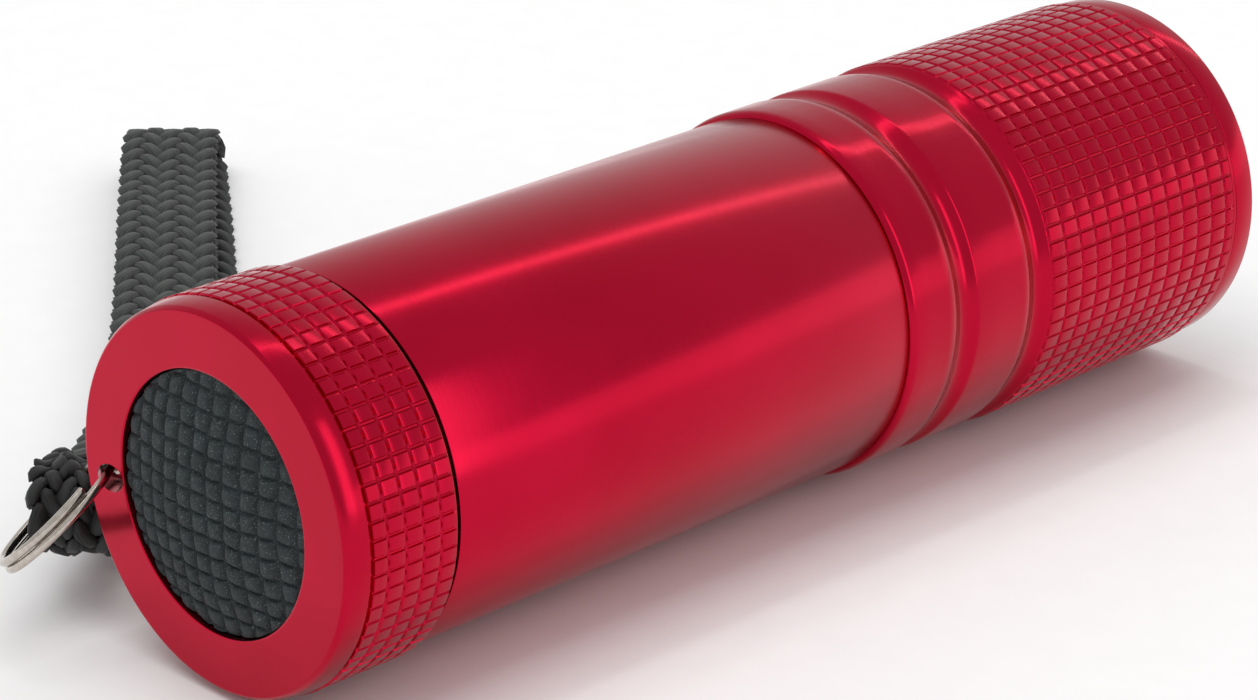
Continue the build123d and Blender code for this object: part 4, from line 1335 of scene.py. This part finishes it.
# --------------------------------------------------------------------------- inner parts
@dataclass
class InnerParts:
    """Pieces that show through the lens or when the torch is opened."""

    lamp_ring: float = 7.6
    lamp_count: int = 8
    lamp_base: float = 75.55
    button_travel: float = 1.5 * MM
    weld: float = 0.0002 * MM      # joins the copied meshes' doubled points

    def dressed(self) -> Dict[str, Tuple[Finish, str]]:
        """Finish and material slot of each CAD piece that keeps its shape."""
        sleeve = CellSleeve("printed shrink film", "#20242B", 0.3, ior=1.5, coat=0.5,
                            bump_mm=0.01, second="#B5202E", start_x_mm=-21.7)
        groups = (
            (ACRYLIC, "lens", ("lens",)),
            (SEAL_RUBBER, "seal_rubber", ("lens_seal",)),
            (PLATED_PLASTIC, "reflector_plating", ("reflector",)),
            (LAMP_EPOXY, "lamp_resin", ("lamps",)),
            (NICKEL_WIRE, "steel_wire", ("lamp_leads",)),
            (CIRCUIT_BOARD, "board", ("lamp_board",)),
            (NICKEL_WIRE, "steel_wire", ("board_spring",)),
            (SEAL_RUBBER, "seal_rubber", ("head_seal", "tail_seal")),
            (BLACK_ABS, "black_plastic", ("cartridge_front_disc", "cartridge_rear_disc",
                                          "cartridge_ribs")),
            (NICKEL_WIRE, "steel_wire", ("cell_springs",)),
            (BRASS, "brass", ("cell_contacts", "cartridge_front_terminal",
                              "cartridge_rear_terminal")),
            (WHITE_ABS, "white_plastic", ("switch_plunger",)),
            (BLACK_ABS, "black_plastic", ("switch_housing",)),
            (NICKEL_WIRE, "steel_wire", ("switch_spring",)),
            (BRASS, "brass", ("switch_retaining_ring", "switch_terminal")),
            (NICKEL_WIRE, "steel_wire", ("contact_spring",)),
            (sleeve, "cell_sleeve", tuple(f"battery_cell_{i}" for i in (1, 2, 3))),
        )
        return {node: (finish, slot) for finish, slot, nodes in groups for node in nodes}

    def smooth_copy(self, node: str) -> bpy.types.Mesh:
        """A welded copy of a CAD node's mesh, in row metres."""
        mesh = frame["nodes"][node].data.copy()
        shape = bmesh.new()
        shape.from_mesh(mesh)
        bmesh.ops.remove_doubles(shape, verts=shape.verts, dist=self.weld)
        shape.to_mesh(mesh)
        shape.free()
        for attribute in ("sharp_edge", "sharp_face"):
            if mesh.attributes.get(attribute):
                mesh.attributes.remove(mesh.attributes[attribute])
        return mesh

    def lamp_cores(self, bench: Bench) -> None:
        """Cup, chip and posts inside each lamp."""
        places = [(0.0, 0.0)] + [
            (self.lamp_ring * math.cos(a), self.lamp_ring * math.sin(a))
            for a in even_angles(self.lamp_count)
        ]
        cups, chips = Mould(), Mould()
        base = self.lamp_base
        for y, z in places:
            cups.lathe([(base + 3.0, 0.0), (base + 3.0, 0.5), (base + 4.6, 0.75),
                        (base + 5.0, 0.85), (base + 5.0, 0.7), (base + 4.5, 0.42),
                        (base + 4.5, 0.0)], even_angles(20), closed=False, y=y, z=z)
            chips.lathe([(base + 4.56, 0.0), (base + 4.56, 0.40), (base + 4.9, 0.55),
                         (base + 5.03, 0.40), (base + 5.08, 0.0)], even_angles(20),
                        closed=False, y=y, z=z)
            for side, width in ((-1, 0.35), (1, 0.25)):
                cups.lathe([(base + 0.1, 0.0), (base + 0.1, 0.22), (base + 3.1 + width, 0.22),
                            (base + 3.1 + width, 0.0)], even_angles(10), closed=False,
                           y=y, z=z + side * 0.5)
        for mould, name, finish, slot in ((cups, "lamp_cups", NICKEL_WIRE, "steel_wire"),
                                          (chips, "lamp_chips", PHOSPHOR, "lamp_resin")):
            bench.hang(bench.finish(mould.mesh(name, 0.0005), name, finish), [],
                       "torch_body")

    def compress(self, spring: bpy.types.Object) -> None:
        """Gives the return spring its own copy of its mesh."""
        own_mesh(spring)

    def build(self, bench: Bench) -> None:
        """Dresses the CAD pieces that keep their shape and adds the lamps' insides."""
        for node, (finish, slot) in self.dressed().items():
            piece = bench.show(self.smooth_copy(node), f"{node}_finished", finish, 35.0)
            bench.hang(piece, [node])
            if node == "switch_spring":
                self.compress(piece)
        self.lamp_cores(bench)


# --------------------------------------------------------------------------- studio
@dataclass
class Studio:
    """Pale floor, soft lights and the camera."""

    lens: float = 121.2
    world_strength: float = 0.67
    floor_half: float = 3.0
    # the camera's place in torch millimetres, and its own axes
    camera_place: Tuple[float, float, float] = (-151.58, -191.93, 110.27)
    camera_right: Tuple[float, float, float] = (0.71341, -0.70071, 0.0)
    camera_up: Tuple[float, float, float] = (0.2658, 0.27063, 0.92526)
    camera_back: Tuple[float, float, float] = (-0.6483, -0.66012, 0.37933)

    def floor(self) -> None:
        """A wide sheet of white paper on the table."""
        shape = bmesh.new()
        bmesh.ops.create_grid(shape, x_segments=40, y_segments=40, size=self.floor_half)
        mesh = poured(shape, "floor")
        mesh.materials.append(FLOOR.material())
        link("floor", mesh)

    def panel(self, name: str, place: Sequence[float], aim: Sequence[float],
              along: Sequence[float], size: Tuple[float, float], radiance: float,
              mirrored: bool = True) -> None:
        """Adds a soft rectangular light.

        Args:
            name: Light's name.
            place: Where its middle stands, in metres.
            aim: Point that it faces.
            along: Direction of its first side, roughly.
            size: Its two sides, in metres.
            radiance: Brightness of its face, where a lit white sheet is about 1.
            mirrored: Whether it also shows in polished surfaces.
        """
        data = bpy.data.lights.new(name, "AREA")
        data.shape = "RECTANGLE"
        data.size, data.size_y = size
        data.energy = radiance * math.pi * size[0] * size[1]
        light = link(name, data)
        back = (Vector(place) - Vector(aim)).normalized()
        up = back.cross(Vector(along)).normalized()
        turn = Matrix((up.cross(back), up, back)).transposed().to_4x4()
        light.matrix_world = Matrix.Translation(place) @ turn
        light.visible_camera = False
        light.visible_glossy = mirrored

    def build(self, axis: TorchAxis) -> None:
        """Sets up floor, lights, world and camera."""
        self.floor()
        world = bpy.data.worlds.new("studio")
        world.use_nodes = True
        world.node_tree.nodes["Background"].inputs[0].default_value = linear("#FFFFFF")
        world.node_tree.nodes["Background"].inputs[1].default_value = self.world_strength
        bpy.context.scene.world = world
        aim = (0.0, 0.0, axis.z)
        self.panel("overhead softbox", (-0.25, 0.05, 1.1), aim, (1, 0, 0), (0.9, 0.9), 2.1,
                   mirrored=False)
        self.panel("strip", (0.5, 0.076, 0.53), (0.5, 0.0, axis.z), (1, 0, 0), (1.5, 0.036),
                   2.8)
        self.panel("low window", (0.7, -0.66, 0.06), aim, (0.76, 0.65, 0), (1.2, 0.32), 0.66)
        self.panel("front window", (0.18, -0.8, 0.38), aim, (1, 0, 0), (0.22, 0.8), 1.5)
        camera = link("camera", bpy.data.cameras.new("camera"))
        camera.data.lens = self.lens
        camera.data.sensor_width = 36.0
        camera.data.clip_start, camera.data.clip_end = 0.01, 20.0
        turn = Matrix((self.camera_right, self.camera_up, self.camera_back)).transposed()
        place = Matrix.Translation(axis.row(*self.camera_place))
        camera.matrix_world = place @ turn.to_4x4()
        bpy.context.scene.camera = camera
        bpy.context.scene.view_settings.view_transform = "Standard"


def main() -> None:
    """Builds the torch's pieces, then the studio."""
    logging.basicConfig(level=logging.INFO, format="%(name)s: %(message)s")
    axis = TorchAxis.from_frame()
    bench = Bench(axis)
    for part in (TailCap(), HeadShell(), Casing(), RubberButton(), SplitRing(), Lanyard(),
                 InnerParts()):
        part.build(bench)
    Studio().build(axis)


if __name__ == "__main__":
    main()
